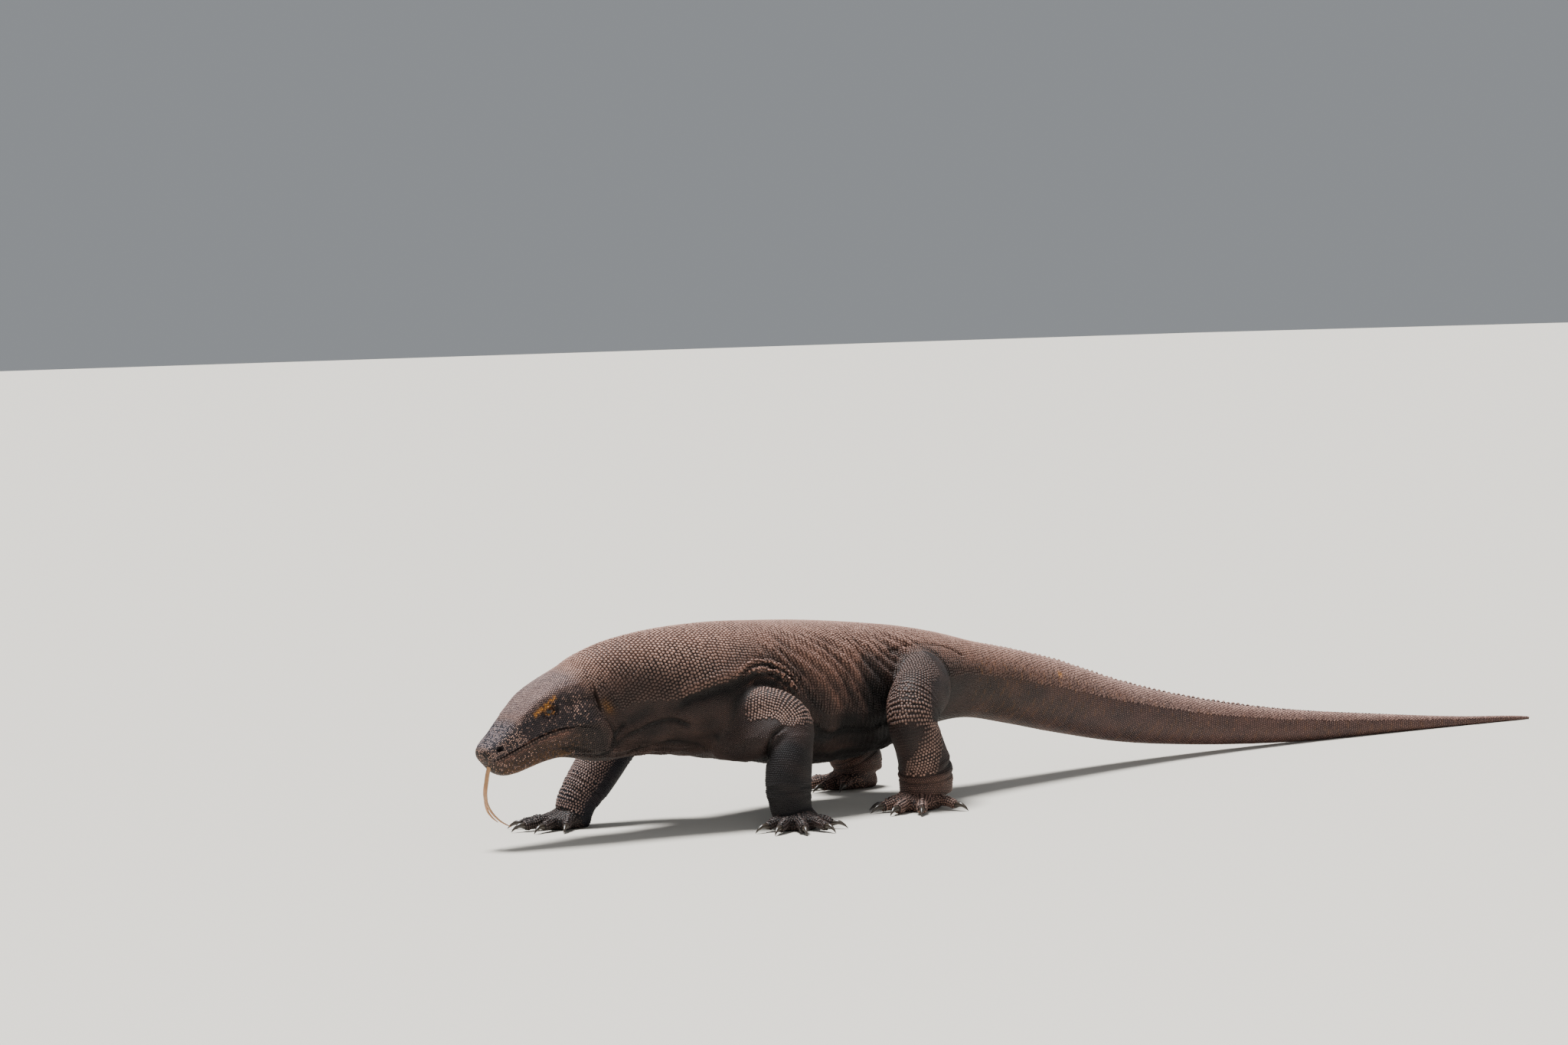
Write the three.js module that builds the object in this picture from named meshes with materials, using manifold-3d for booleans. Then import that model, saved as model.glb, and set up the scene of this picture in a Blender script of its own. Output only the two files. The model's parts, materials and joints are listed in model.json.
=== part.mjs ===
// A Komodo dragon in mid-stride, head carried low and tongue out: a still, life-size
// model. Millimetres, +Z up, the head toward -X and the tail toward +X.
import * as THREE from 'three';
import Module from 'manifold-3d';

const wasm = await Module();
wasm.setup();
const { Manifold, Mesh } = wasm;

// ---------------------------------------------------------------- driving dimensions
const GAP = 0.3;                 // clearance left between touching parts
const CUT = GAP / 2;             // what each of two neighbours gives up at a cut
const ROWS = 10;                 // lengthwise rows from the back midline to the belly midline

// The head hangs from this point, nose down by this many degrees.
const HEAD_AT = [-250, 0, 205];
const HEAD_PITCH = 27;

// Head sections from the snout back. u: forward, then (side, height) of each row:
// crown height, brow, temple, cheek, upper lip, mouth line, lower lip, jaw edge, throat.
const HEAD = [
  [209, 41, 6, 39, 9, 37, 10, 34, 8.5, 31, 7, 29.5, 6.5, 28.5, 5, 27, 26],
  [206.5, 45, 10, 43, 15, 38, 17, 33, 16, 29, 14, 26.5, 13.5, 24.5, 9, 20, 18],
  [201, 47, 14, 45.5, 20, 41, 22, 35, 21.5, 28, 19.5, 25, 19.5, 20, 12, 7, 2],
  [190, 50.5, 18, 48.5, 25, 43.5, 27, 36, 26, 27, 24, 24, 24.5, 15, 16, -3, -10],
  [171, 55, 21, 52, 28, 46.5, 31, 37.5, 31, 26.5, 28.5, 23.5, 29, 12, 21, -9, -18],
  [148, 60.5, 25, 58, 31, 50, 35, 38, 35.5, 26, 33, 22.5, 33.5, 10, 25, -13, -23],
  [120, 66.5, 29, 65, 35, 54, 39, 37, 40.5, 23.5, 37.5, 20, 38.5, 6, 29, -19, -29],
  [92, 72, 34, 70.5, 37, 58, 43, 34, 46, 18.5, 43.5, 14.5, 45, 0, 34, -28, -39],
  [65, 76, 36, 71, 42, 55, 49, 30, 52.5, 12, 51.5, 4, 52, -9, 41, -39, -57],
  [38, 78, 38, 68, 48, 48, 55, 26, 57.5, 6, 57.5, -9, 55, -27, 45, -58, -79],
  [10, 78, 40, 63, 52, 42, 59, 19, 61.5, -5, 60.5, -25, 56, -48, 45, -77, -94],
];

// Trunk and tail sections: x, z of the back; x, z of the belly; sideways place; half
// width; height of the widest level as a share; squareness.
const BODY = [
  [-268, 284, -183, 118, -2, 62, 0.48, 2.1],
  [-215, 300, -152, 118, -4, 67, 0.46, 2.1],
  [-150, 310, -110, 115, -6, 75, 0.45, 2.2],
  [-80, 315, -62, 108, -6, 88, 0.44, 2.2],
  [0, 316, 0, 97, -4, 99, 0.43, 2.2],
  [80, 312, 80, 85, 4, 107, 0.42, 2.2],
  [160, 307, 160, 75, 14, 113, 0.42, 2.2],
  [240, 300, 235, 73, 20, 112, 0.43, 2.2],
  [320, 291, 310, 80, 22, 103, 0.45, 2.2],
  [400, 280, 388, 97, 22, 89, 0.48, 2.15],
  [480, 264, 466, 114, 24, 70, 0.5, 2.1],
  [560, 244, 548, 116, 30, 58, 0.5, 2.1],
  [660, 223, 650, 97, 40, 52, 0.5, 2.1],
  [780, 193, 768, 71, 52, 45, 0.5, 2.1],
  [940, 144, 928, 40, 64, 37, 0.48, 2.05],
  [1100, 105, 1090, 20, 70, 29, 0.46, 2],
  [1270, 73, 1265, 6, 66, 22.5, 0.44, 2],
  [1440, 50, 1437, -1, 52, 17, 0.42, 2],
  [1610, 32, 1608, -1, 32, 12, 0.42, 2],
  [1760, 18, 1759, -1, 10, 7.5, 0.42, 2],
  [1880, 10, 1880, -0.8, -10, 4.5, 0.42, 2],
  [1920, 6, 1920, -0.5, -17, 3, 0.42, 2],
];

// Soft swellings on the trunk: section number (fractional), row, reach along and
// around, height.
const SWELLS = [
  [9.2, 6.8, 1, 1.3, 4], [9.2, 13.2, 1, 1.3, 4],        // jowls
  [11, 6.3, 0.6, 2, -4], [11, 13.7, 0.6, 2, -4],        // crease behind the jaw
  [14.4, 5, 1.2, 1.6, 6], [14.4, 15, 1.2, 1.6, 6],      // shoulders
  [16.2, 6.6, 0.5, 1.5, -4], [16.2, 13.4, 0.5, 1.5, -4],  // hollow behind the arm
  [18.8, 7.4, 1.2, 0.9, 5], [18.8, 12.6, 1.2, 0.9, 5],  // fold along the lower flank
  [20.2, 4.6, 1.1, 1.6, 7], [20.2, 15.4, 1.1, 1.6, 7],  // hips
];

// Limbs: x, y, z of the middle line, half width across, half width fore and aft. The fold
// is the loose skin that hangs from the upper arm across the bend of the elbow.
const LIMBS = {
  left_arm: {
    line: [
      [-34, -62, 182, 30, 36], [-6, -100, 182, 32, 36], [22, -127, 177, 32, 35],
      [35, -145, 157, 32, 35], [24, -156, 127, 33, 36], [13, -163, 98, 34, 38],
      [8, -166, 66, 33, 39], [9, -168, 40, 31, 37], [12, -170, 22, 29, 35],
    ],
    elbow: 4, wrist: 7,
    fold: [[-40, -50, 136, 34, 30], [-16, -98, 135, 33, 33], [3, -135, 144, 27, 35],
      [17, -149, 158, 18, 29]],
    foot: { at: [14, -174], turn: 60, length: 44, width: 36, toes: 'hand' },
  },
  right_arm: {
    line: [
      [-10, 66, 200, 38, 44], [-50, 98, 176, 35, 42], [-88, 112, 150, 33, 39],
      [-119, 115, 124, 34, 40], [-143, 117, 96, 33, 40], [-166, 119, 68, 32, 38],
      [-187, 121, 42, 29, 34], [-196, 122, 22, 28, 32],
    ],
    elbow: 3, wrist: 6,
    foot: { at: [-198, 124], turn: -10, length: 44, width: 35, toes: 'hand' },
  },
  left_leg: {
    line: [
      [400, -24, 190, 50, 56], [368, -74, 190, 45, 54], [330, -110, 180, 41, 49],
      [298, -131, 162, 40, 46], [288, -141, 132, 38, 41], [298, -143, 101, 38, 42],
      [309, -141, 70, 40, 45], [313, -139, 44, 42, 47], [312, -139, 24, 40, 46],
    ],
    elbow: 4, wrist: 7,
    foot: { at: [304, -140], turn: 16, length: 56, width: 38, toes: 'foot' },
  },
  right_leg: {
    line: [
      [402, 62, 190, 50, 56], [378, 108, 184, 46, 52], [352, 142, 166, 40, 46],
      [356, 162, 138, 38, 43], [384, 172, 106, 38, 43], [414, 174, 74, 38, 44],
      [432, 174, 46, 38, 45], [434, 174, 26, 37, 44],
    ],
    elbow: 3, wrist: 6,
    foot: { at: [428, 174], turn: -14, length: 56, width: 37, toes: 'foot' },
  },
};

// Toes from the inside of the foot to the outside: bearing from the middle toe, length
// from the ankle to the claw, thickness.
const TOES = {
  hand: [[56, 60, 8.5], [28, 74, 9], [0, 80, 9.5], [-28, 76, 9], [-62, 60, 8.5]],
  foot: [[46, 62, 9], [20, 78, 9.5], [-6, 88, 10], [-32, 90, 10], [-84, 68, 9]],
};
const CLAW = 25;                 // claw length along its curve
const EYE = { u: 88, side: 32.5, height: 46, radius: 10, turn: 18 };
const EAR = { u: 10, side: 60, height: 22, deep: 8, wide: 4.5, tall: 19 };
const NOSTRIL = { u: 187, side: 25.5, height: 38.5, radius: 5 };
const MOUTH_CORNER = 72;         // how far back along the head the mouth opens
const CREST = { pitch: 17, long: 13, thick: 4.4, tall: 5 };

const COLOURS = {
  hide: 0x4a4340, hide_dark: 0x37322f, claw: 0x24211f, eye: 0x1c120b, tongue: 0xb98a63,
};

// ---------------------------------------------------------------- small helpers
const V = (x, y, z) => new THREE.Vector3(x, y, z);
const RAD = Math.PI / 180;
const lerp = (a, b, f) => a + (b - a) * f;

// Smooth value between list items at uneven stations (cubic, slopes from neighbours).
function smooth(list, knots, at) {
  let i = 0;
  while (i < knots.length - 2 && at > knots[i + 1]) i += 1;
  const slope = (j) => {
    const a = Math.max(j - 1, 0);
    const b = Math.min(j + 1, knots.length - 1);
    return list[b].map((v, n) => (v - list[a][n]) / (knots[b] - knots[a]));
  };
  const span = knots[i + 1] - knots[i];
  const f = (at - knots[i]) / span;
  const [m0, m1] = [slope(i), slope(i + 1)];
  const h = [2 * f ** 3 - 3 * f ** 2 + 1, f ** 3 - 2 * f ** 2 + f,
    -2 * f ** 3 + 3 * f ** 2, f ** 3 - f ** 2];
  return list[i].map((v, n) => h[0] * v + h[1] * span * m0[n]
    + h[2] * list[i + 1][n] + h[3] * span * m1[n]);
}

// A closed solid through rings of equal count; each end is closed on its own centre,
// which may stand forward of the ring.
function loft(rings, noseOut = 0, tailOut = 0) {
  const count = rings[0].length;
  const points = rings.flat();
  const faces = [];
  for (let r = 0; r + 1 < rings.length; r += 1) {
    for (let i = 0; i < count; i += 1) {
      const j = (i + 1) % count;
      const [a, b] = [r * count + i, r * count + j];
      faces.push([a, b, b + count], [a, b + count, a + count]);
    }
  }
  const cap = (ring, other, base, out, turned) => {
    const centre = ring.reduce((s, p) => s.add(p), V(0, 0, 0)).divideScalar(count);
    const far = other.reduce((s, p) => s.add(p), V(0, 0, 0)).divideScalar(count);
    const tip = points.push(centre.clone().add(centre.sub(far).setLength(out || 1e-9))) - 1;
    for (let i = 0; i < count; i += 1) {
      const j = (i + 1) % count;
      faces.push(turned ? [tip, base + i, base + j] : [tip, base + j, base + i]);
    }
  };
  cap(rings[0], rings[1], 0, noseOut, false);
  cap(rings.at(-1), rings.at(-2), (rings.length - 1) * count, tailOut, true);
  const positions = new Float32Array(points.flatMap((p) => [p.x, p.y, p.z]));
  const build = (list) => Manifold.ofMesh(new Mesh({
    numProp: 3, vertProperties: positions, triVerts: new Uint32Array(list.flat()),
  }));
  const solid = build(faces);
  return solid.volume() > 0 ? solid : build(faces.map(([a, b, c]) => [a, c, b]));
}

// The same rings moved outward by a little, each point away from its ring's middle.
function swollen(rings, by) {
  return rings.map((ring) => {
    const count = ring.length;
    const middle = ring.reduce((s, p) => s.add(p), V(0, 0, 0)).divideScalar(count);
    const axis = V(0, 0, 0);
    ring.forEach((p, i) => {
      const q = ring[(i + 1) % count];
      axis.add(p.clone().sub(middle).cross(q.clone().sub(middle)));
    });
    axis.normalize();
    return ring.map((p, i) => {
      const along = ring[(i + 1) % count].clone().sub(ring[(i + count - 1) % count]);
      return p.clone().add(along.cross(axis).setLength(by));
    });
  });
}

// A solid from one of three.js's own shapes, placed.
function solidOf(geometry, place) {
  if (place) geometry.applyMatrix4(place);
  const at = geometry.getAttribute('position');
  const keys = new Map();
  const points = [];
  const index = [];
  const order = geometry.index ? Array.from(geometry.index.array) : [...Array(at.count).keys()];
  for (const i of order) {
    const p = [at.getX(i), at.getY(i), at.getZ(i)];
    const key = p.map((v) => Math.round(v * 1e4)).join();
    if (!keys.has(key)) {
      keys.set(key, points.length / 3);
      points.push(...p);
    }
    index.push(keys.get(key));
  }
  const faces = [];
  for (let i = 0; i < index.length; i += 3) {
    const [a, b, c] = index.slice(i, i + 3);
    if (a !== b && b !== c && a !== c) faces.push(a, b, c);
  }
  return Manifold.ofMesh(new Mesh({
    numProp: 3, vertProperties: new Float32Array(points), triVerts: new Uint32Array(faces),
  }));
}

const biggest = (solid) => solid.decompose()
  .reduce((a, b) => (b.volume() > a.volume() ? b : a));

// ---------------------------------------------------------------- the body's surface
const pitch = HEAD_PITCH * RAD;
const headAxes = {
  forward: V(-Math.cos(pitch), 0, -Math.sin(pitch)),
  side: V(0, -1, 0),
  up: V(-Math.sin(pitch), 0, Math.cos(pitch)),
};
const headPoint = (u, side, height) => V(...HEAD_AT)
  .addScaledVector(headAxes.forward, u)
  .addScaledVector(headAxes.side, side)
  .addScaledVector(headAxes.up, height);

// Half a head section as [side, height] for the eleven rows.
function headRows([, crown, bs, bh, ts, th, cs, ch, ls, lh, ms, mh, js, jh, ks, kh, low]) {
  return [
    [0, crown], [bs * 0.55, lerp(crown, bh, 0.3)], [bs, bh], [ts, th], [cs, ch], [ls, lh],
    [ms, mh], [js, jh], [ks, kh], [ks * 0.58, lerp(low, kh, 0.22)], [0, low],
  ];
}

function bodyRows(half, height, widest, square) {
  const rows = [];
  for (let k = 0; k <= ROWS; k += 1) {
    const a = (k / ROWS) * Math.PI;
    const [s, c] = [Math.sin(a), Math.cos(a)];
    const reach = c > 0 ? (1 - widest) * height : widest * height;
    rows.push([half * Math.abs(s) ** (2 / square),
      widest * height + reach * Math.sign(c) * Math.abs(c) ** (2 / square)]);
  }
  return rows;
}

// Every section as a closed ring of twenty row points.
const sections = [];
for (const row of HEAD) {
  const half = headRows(row);
  const ring = half.map(([s, h]) => headPoint(row[0], s, h));
  for (let k = ROWS - 1; k > 0; k -= 1) ring.push(headPoint(row[0], -half[k][0], half[k][1]));
  sections.push(ring);
}
BODY.forEach(([xt, zt, xb, zb, y, half, widest, square], i) => {
  const before = BODY[Math.max(i - 1, 0)];
  const after = BODY[Math.min(i + 1, BODY.length - 1)];
  const heading = Math.atan2(after[4] - before[4], after[0] - before[0]);
  const base = V(xb, y, zb);
  const up = V(xt - xb, 0, zt - zb);
  const height = up.length();
  up.normalize();
  const side = V(Math.sin(heading), -Math.cos(heading), 0);
  const rows = bodyRows(half, height, widest, square);
  const spot = (s, h) => base.clone().addScaledVector(side, s).addScaledVector(up, h);
  const ring = rows.map(([s, h]) => spot(s, h));
  for (let k = ROWS - 1; k > 0; k -= 1) ring.push(spot(-rows[k][0], rows[k][1]));
  sections.push(ring);
});
const middleOf = (ring) => ring.reduce((s, p) => s.add(p), V(0, 0, 0))
  .divideScalar(ring.length);
const stations = [0];
for (let i = 1; i < sections.length; i += 1) {
  stations.push(stations[i - 1] + middleOf(sections[i]).distanceTo(middleOf(sections[i - 1])));
}
for (const [section, row, along, around, height] of SWELLS) {
  sections.forEach((ring, i) => {
    const middle = middleOf(ring);
    ring.forEach((p, k) => {
      const turn = Math.min(Math.abs(k - row), 20 - Math.abs(k - row));
      const gain = height * Math.exp(-(((i - section) / along) ** 2) - (turn / around) ** 2);
      p.add(p.clone().sub(middle).setLength(gain || 1e-9));
    });
  });
}
const lengthwise = [...Array(2 * ROWS).keys()].map(
  (k) => sections.map((ring) => ring[k].toArray()),
);
const round20 = [...Array(26).keys()].map((i) => i - 3);

// The ring of the body at a distance from the snout, sampled at the given rows.
function bodyRing(at, rows) {
  const ring = lengthwise.map((row) => smooth(row, stations, at));
  const closed = round20.map((i) => ring[(i + 20) % 20]);
  return rows.map((t) => V(...smooth(closed, round20, t)));
}
const bothSides = (half) => [...half,
  ...half.slice(1, -1).reverse().map((t) => 2 * ROWS - t)];
const FINE = bothSides([0, 1, 2, 2.5, 3, 3.5, 4, 4.6, 5, 5.5, 6, 6.5, 7, 8, 9, 10]);
const EVEN = bothSides([0, 1, 2, 3, 4, 5, 6, 7, 8, 9, 10]);
const SLIM = bothSides([0, 1.4, 3.2, 5, 6.8, 8.6, 10]);

// Rings from one section to another, no further apart than the step, drawn back a
// little at the cuts so that neighbours stay clear of each other.
function bodyRings(from, to, step, rows, openStart = false, openEnd = false) {
  const [a, b] = [stations[from], stations[to]];
  const count = Math.max(2, Math.ceil((b - a) / step));
  const rings = [];
  for (let i = 0; i <= count; i += 1) {
    const at = Math.min(Math.max(lerp(a, b, i / count), a), b);
    rings.push(bodyRing(at, rows));
  }
  const nudge = (ring, other, by) => {
    const normal = V(0, 0, 0);
    const middle = middleOf(ring);
    ring.forEach((p, i) => {
      const q = ring[(i + 1) % ring.length];
      normal.add(p.clone().sub(middle).cross(q.clone().sub(middle)));
    });
    normal.normalize();
    if (normal.dot(middleOf(other).sub(middle)) < 0) normal.negate();
    ring.forEach((p) => p.addScaledVector(normal, by));
  };
  if (!openStart) nudge(rings[0], rings[1], CUT);
  if (!openEnd) nudge(rings.at(-1), rings.at(-2), CUT);
  return rings;
}

// ---------------------------------------------------------------- limbs
function limbRings(line, from, to, outward, around = 14, step = 14) {
  const knots = [0];
  for (let i = 1; i < line.length; i += 1) {
    const gap = V(...line[i].slice(0, 3)).distanceTo(V(...line[i - 1].slice(0, 3)));
    knots.push(knots[i - 1] + gap);
  }
  const [a, b] = [knots[from], knots[to]];
  const count = Math.max(2, Math.ceil((b - a) / step));
  const rings = [];
  for (let i = 0; i <= count; i += 1) {
    const at = lerp(a, b, i / count);
    const [x, y, z, across, fore] = smooth(line, knots, at);
    const ahead = smooth(line, knots, Math.min(at + 2, knots.at(-1)));
    const behind = smooth(line, knots, Math.max(at - 2, 0));
    const along = V(ahead[0] - behind[0], ahead[1] - behind[1], ahead[2] - behind[2]);
    along.normalize();
    const side = outward.clone().addScaledVector(along, -outward.dot(along)).normalize();
    const front = along.clone().cross(side);
    const ring = [];
    for (let k = 0; k < around; k += 1) {
      const angle = (k / around) * 2 * Math.PI;
      ring.push(V(x, y, z).addScaledVector(side, across * Math.cos(angle))
        .addScaledVector(front, fore * Math.sin(angle)));
    }
    rings.push(ring);
  }
  return rings;
}

// The plane across a limb at one of its stations, and the two sides of that cut.
function limbPlane(line, at) {
  const [here, next, back] = [line[at], line[at + 1], line[at - 1]].map((p) => V(p[0], p[1], p[2]));
  const along = next.clone().sub(back).normalize();
  const offset = along.dot(here);
  return {
    before: (solid) => solid.trimByPlane(along.clone().negate().toArray(), -offset + CUT),
    after: (solid) => solid.trimByPlane(along.toArray(), offset + CUT),
  };
}

// A tapering tube through a few points: x, y, z, radius (and upright radius).
function tube(points, around, step, tipOut = 0, outward = V(0.02, 0.015, 1)) {
  const rings = limbRings(points.map((p) => [p[0], p[1], p[2], p[3], p[4] ?? p[3]]), 0,
    points.length - 1, outward, around, step);
  return loft(rings, 0, tipOut);
}

// The toes of one foot: solids of the toes and of their claws.
function toesOf({ at, turn, length, toes }, mirror) {
  const bodies = [];
  const claws = [];
  for (const [bearing, reach, thick] of TOES[toes]) {
    const angle = (180 + turn + bearing * mirror) * RAD;
    const ray = V(Math.cos(angle), Math.sin(angle), 0);
    const root = V(at[0], at[1], 0);
    const spot = (d, z, r, tall) => {
      const p = root.clone().addScaledVector(ray, d);
      return [p.x, p.y, z, r, tall];
    };
    const knuckle = lerp(length * 0.55, reach, 0.55);
    const end = root.dot(ray) + reach;
    const toe = tube([
      spot(length * 0.25, 16, thick * 1.1), spot(length * 0.62, 16.5, thick * 1.05),
      spot(knuckle - 9, 13.6, thick * 0.92), spot(knuckle, 14.5, thick * 1.05),
      spot(knuckle + 8, 12, thick * 0.88), spot(reach - 5, 10.4, thick * 0.9),
      spot(reach + 1.5, 9, thick * 0.68),
    ], 8, 9);
    bodies.push(toe.trimByPlane(ray.clone().negate().toArray(), -end));
    const claw = tube([
      spot(reach - 2, 9, thick * 0.58, thick * 0.52),
      spot(reach + CLAW * 0.38, 10.4, thick * 0.44, 4.2),
      spot(reach + CLAW * 0.75, 6.6, thick * 0.25, 2.4), spot(reach + CLAW, 1.2, 0.5, 0.5),
    ], 6, 8.5, 0.3);
    claws.push(claw.trimByPlane(ray.toArray(), end + GAP));
  }
  return { bodies, claws };
}

function palmOf({ at, turn, length, width }) {
  const angle = (180 + turn) * RAD;
  const ray = V(Math.cos(angle), Math.sin(angle), 0);
  const rings = [[-0.62, 0.5, 12, 12], [-0.45, 0.72, 14, 18], [-0.1, 0.9, 16, 24],
    [0.35, 1, 14, 20], [0.72, 0.94, 12, 15], [0.95, 0.66, 10, 10]].map(([d, w, z, tall]) => {
    const ring = [];
    const side = V(-ray.y, ray.x, 0);
    for (let k = 0; k < 14; k += 1) {
      const a = (k / 14) * 2 * Math.PI;
      ring.push(V(at[0], at[1], z).addScaledVector(ray, d * length)
        .addScaledVector(side, w * width * Math.cos(a))
        .add(V(0, 0, tall * Math.sin(a))));
    }
    return ring;
  });
  return loft(rings, 1, 1);
}

// ---------------------------------------------------------------- parts
const parts = [];
const add = (name, solid, slot) => parts.push({ name, solid, slot });
const TRUNK = { head: 11, neck: 14, torso: 21, base: 23, middle: 25, end: 28 };
const last = sections.length - 1;
const aboveFloor = (solid) => solid.trimByPlane([0, 0, 1], 0);

// Head: the outer form, eye sockets under lids, nostrils, ear cups, then the jaw.
const sphere = (r, place, detail = 12) => solidOf(new THREE.SphereGeometry(r, detail,
  Math.round(detail * 0.7)), place);
const headPlace = (u, side, height, scale = V(1, 1, 1)) => {
  const turn = new THREE.Matrix4().makeBasis(headAxes.forward, headAxes.side,
    headAxes.up);
  const at = headPoint(u, side, height);
  return new THREE.Matrix4().makeTranslation(at.x, at.y, at.z).multiply(turn)
    .multiply(new THREE.Matrix4().makeScale(scale.x, scale.y, scale.z));
};
function lidOpening(side) {
  const shape = new THREE.Shape();
  shape.moveTo(-9.6, -1.5);
  shape.quadraticCurveTo(0, 12.5, 9.6, 1);
  shape.quadraticCurveTo(0, -11.5, -9.6, -1.5);
  const prism = new THREE.ExtrudeGeometry(shape, { depth: 30, bevelEnabled: false,
    curveSegments: 5 });
  const sign = side > 0 ? 1 : -1;
  const out = headAxes.side.clone().multiplyScalar(sign * Math.cos(EYE.turn * RAD))
    .addScaledVector(headAxes.forward, Math.sin(EYE.turn * RAD));
  const turn = new THREE.Matrix4().makeBasis(headAxes.up.clone().cross(out),
    headAxes.up.clone(), out);
  const at = headPoint(EYE.u, side, EYE.height);
  return solidOf(prism, new THREE.Matrix4().makeTranslation(at.x, at.y, at.z).multiply(turn));
}
const headRings = bodyRings(0, TRUNK.head, 9, FINE, true, false);
let skull = loft(headRings, 1.5, 0);
const eyeballs = [];
for (const sign of [1, -1]) {
  const side = EYE.side * sign;
  const at = headPlace(EYE.u, side, EYE.height);
  skull = skull.add(sphere(EYE.radius + 2.4, at, 14))
    .subtract(lidOpening(side))
    .subtract(sphere(EYE.radius + GAP, at, 16))
    .subtract(sphere(1, headPlace(EAR.u, EAR.side * sign, EAR.height,
      V(EAR.wide, EAR.deep, EAR.tall)), 10))
    .subtract(sphere(NOSTRIL.radius, headPlace(NOSTRIL.u, NOSTRIL.side * sign,
      NOSTRIL.height, V(1.25, 1, 0.85)), 10));
  eyeballs.push(sphere(EYE.radius, at, 16));
}

// The region below the mouth line, seen from the side, as a prism right through.
function belowMouth(grow) {
  const line = HEAD.filter(([u]) => u >= MOUTH_CORNER).map((row) => [row[0], row[11]]);
  const edge = [[226, line[0][1]], ...line, [MOUTH_CORNER, 8]];
  const outline = [...edge.map(([u, h]) => [u, h + grow]), [MOUTH_CORNER - 22 - grow, -20],
    [MOUTH_CORNER - 6 - grow, -70], [240, -70]];
  const shape = new THREE.Shape(outline.map(([u, h]) => new THREE.Vector2(u, h)));
  const prism = new THREE.ExtrudeGeometry(shape, { depth: 200, bevelEnabled: false });
  const turn = new THREE.Matrix4().makeBasis(headAxes.forward, headAxes.up, V(0, 1, 0));
  const at = headPoint(0, 100, 0);
  return solidOf(prism, new THREE.Matrix4().makeTranslation(at.x, at.y, at.z).multiply(turn));
}

// Tongue: one stem out of the mouth, forked over its lower half.
const tonguePoint = (u, side, height, r) => [...headPoint(u, side, height).toArray(), r];
function tongueSolid(grow) {
  const stem = tube([
    tonguePoint(180, 0, 22, 3.4 + grow), tonguePoint(196, 0, 19.5, 3.5 + grow),
    tonguePoint(208, 0, 9, 3.4 + grow), tonguePoint(219, 0, -4, 3.3 + grow),
    tonguePoint(228, 0, -16, 3.1 + grow), tonguePoint(233, 0, -27, 2.8 + grow),
  ], 8, 9, 0, V(0, 1, 0));
  const prong = (side, back, low) => tube([
    tonguePoint(228.5, side * 0.8, -17, 2.2 + grow), tonguePoint(234, side * 1.8, -30, 2 + grow),
    tonguePoint(236 - back * 0.2, side * 3.4, -44 - low * 0.3, 1.8 + grow),
    tonguePoint(232.5 - back * 0.5, side * 5.4, -58 - low * 0.7, 1.3 + grow),
    tonguePoint(226 - back, side * 7.5, -71 - low, 0.7 + grow),
  ], 8, 12, 0.8, V(0, 1, 0));
  return stem.add(prong(1, 9, 13)).add(prong(-1, 0, 0));
}
const tongue = tongueSolid(0);
const tongueRoom = tongueSolid(GAP);
const jaw = biggest(skull.intersect(belowMouth(-CUT)).subtract(tongueRoom));
const head = biggest(skull.subtract(belowMouth(CUT)).subtract(tongueRoom));
add('head', head, 'hide');
add('lower_jaw', jaw, 'hide');
add('left_eye', eyeballs[0], 'eye');
add('right_eye', eyeballs[1], 'eye');
add('tongue', tongue, 'tongue');

// Neck, trunk and tail lengths.
const lengths = [
  ['neck', TRUNK.head, TRUNK.neck, 22, EVEN, 'hide'],
  ['torso', TRUNK.neck, TRUNK.torso, 26, EVEN, 'hide'],
  ['tail_base', TRUNK.torso, TRUNK.base, 30, EVEN, 'hide'],
  ['tail_middle', TRUNK.base, TRUNK.middle, 34, SLIM, 'hide'],
  ['tail_end', TRUNK.middle, TRUNK.end, 38, SLIM, 'hide'],
  ['tail_tip', TRUNK.end, last, 40, SLIM, 'hide'],
];
// Crest: a row of low pointed scutes down the middle of the tail's back, between two
// distances from the snout. Each is a four-sided cone leaning back, its root sunk.
function crest(from, to) {
  const scutes = [];
  const start = Math.max(from, stations[TRUNK.torso] + 40);
  for (let at = start + CREST.pitch * 0.7; at < to - CREST.pitch * 0.7; at += CREST.pitch) {
    const here = bodyRing(at, [0])[0];
    const along = bodyRing(at + 5, [0])[0].sub(here).normalize();
    const size = Math.min(1, 0.45 + (at - start) / 400, 0.25 + (stations[TRUNK.end] - at) / 300);
    if (size < 0.3) continue;
    const side = V(0, 1, 0).cross(along).cross(along).normalize();
    const up = along.clone().cross(side).setLength(1);
    if (up.z < 0) up.negate();
    const lean = up.clone().addScaledVector(along, 0.55);
    const place = new THREE.Matrix4().makeBasis(along.clone().multiplyScalar(CREST.long * size),
      lean.multiplyScalar(CREST.tall * size + 5), side.clone().multiplyScalar(CREST.thick));
    if (place.determinant() < 0) {
      place.makeBasis(along.clone().multiplyScalar(CREST.long * size), lean,
        side.clone().multiplyScalar(-CREST.thick));
    }
    const root = here.clone().addScaledVector(up, -5 + (CREST.tall * size + 5) / 2);
    place.setPosition(root);
    scutes.push(solidOf(new THREE.ConeGeometry(0.62, 1, 4, 1), place));
  }
  return scutes;
}
for (const [name, from, to, step, rows, slot] of lengths) {
  const rings = bodyRings(from, to, step, rows, false, to === last);
  const length = aboveFloor(loft(rings, 0, to === last ? 2 : 0));
  const scutes = crest(stations[from], stations[to]);
  add(name, scutes.length ? biggest(Manifold.union([length, ...scutes])) : length, slot);
}

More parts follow.
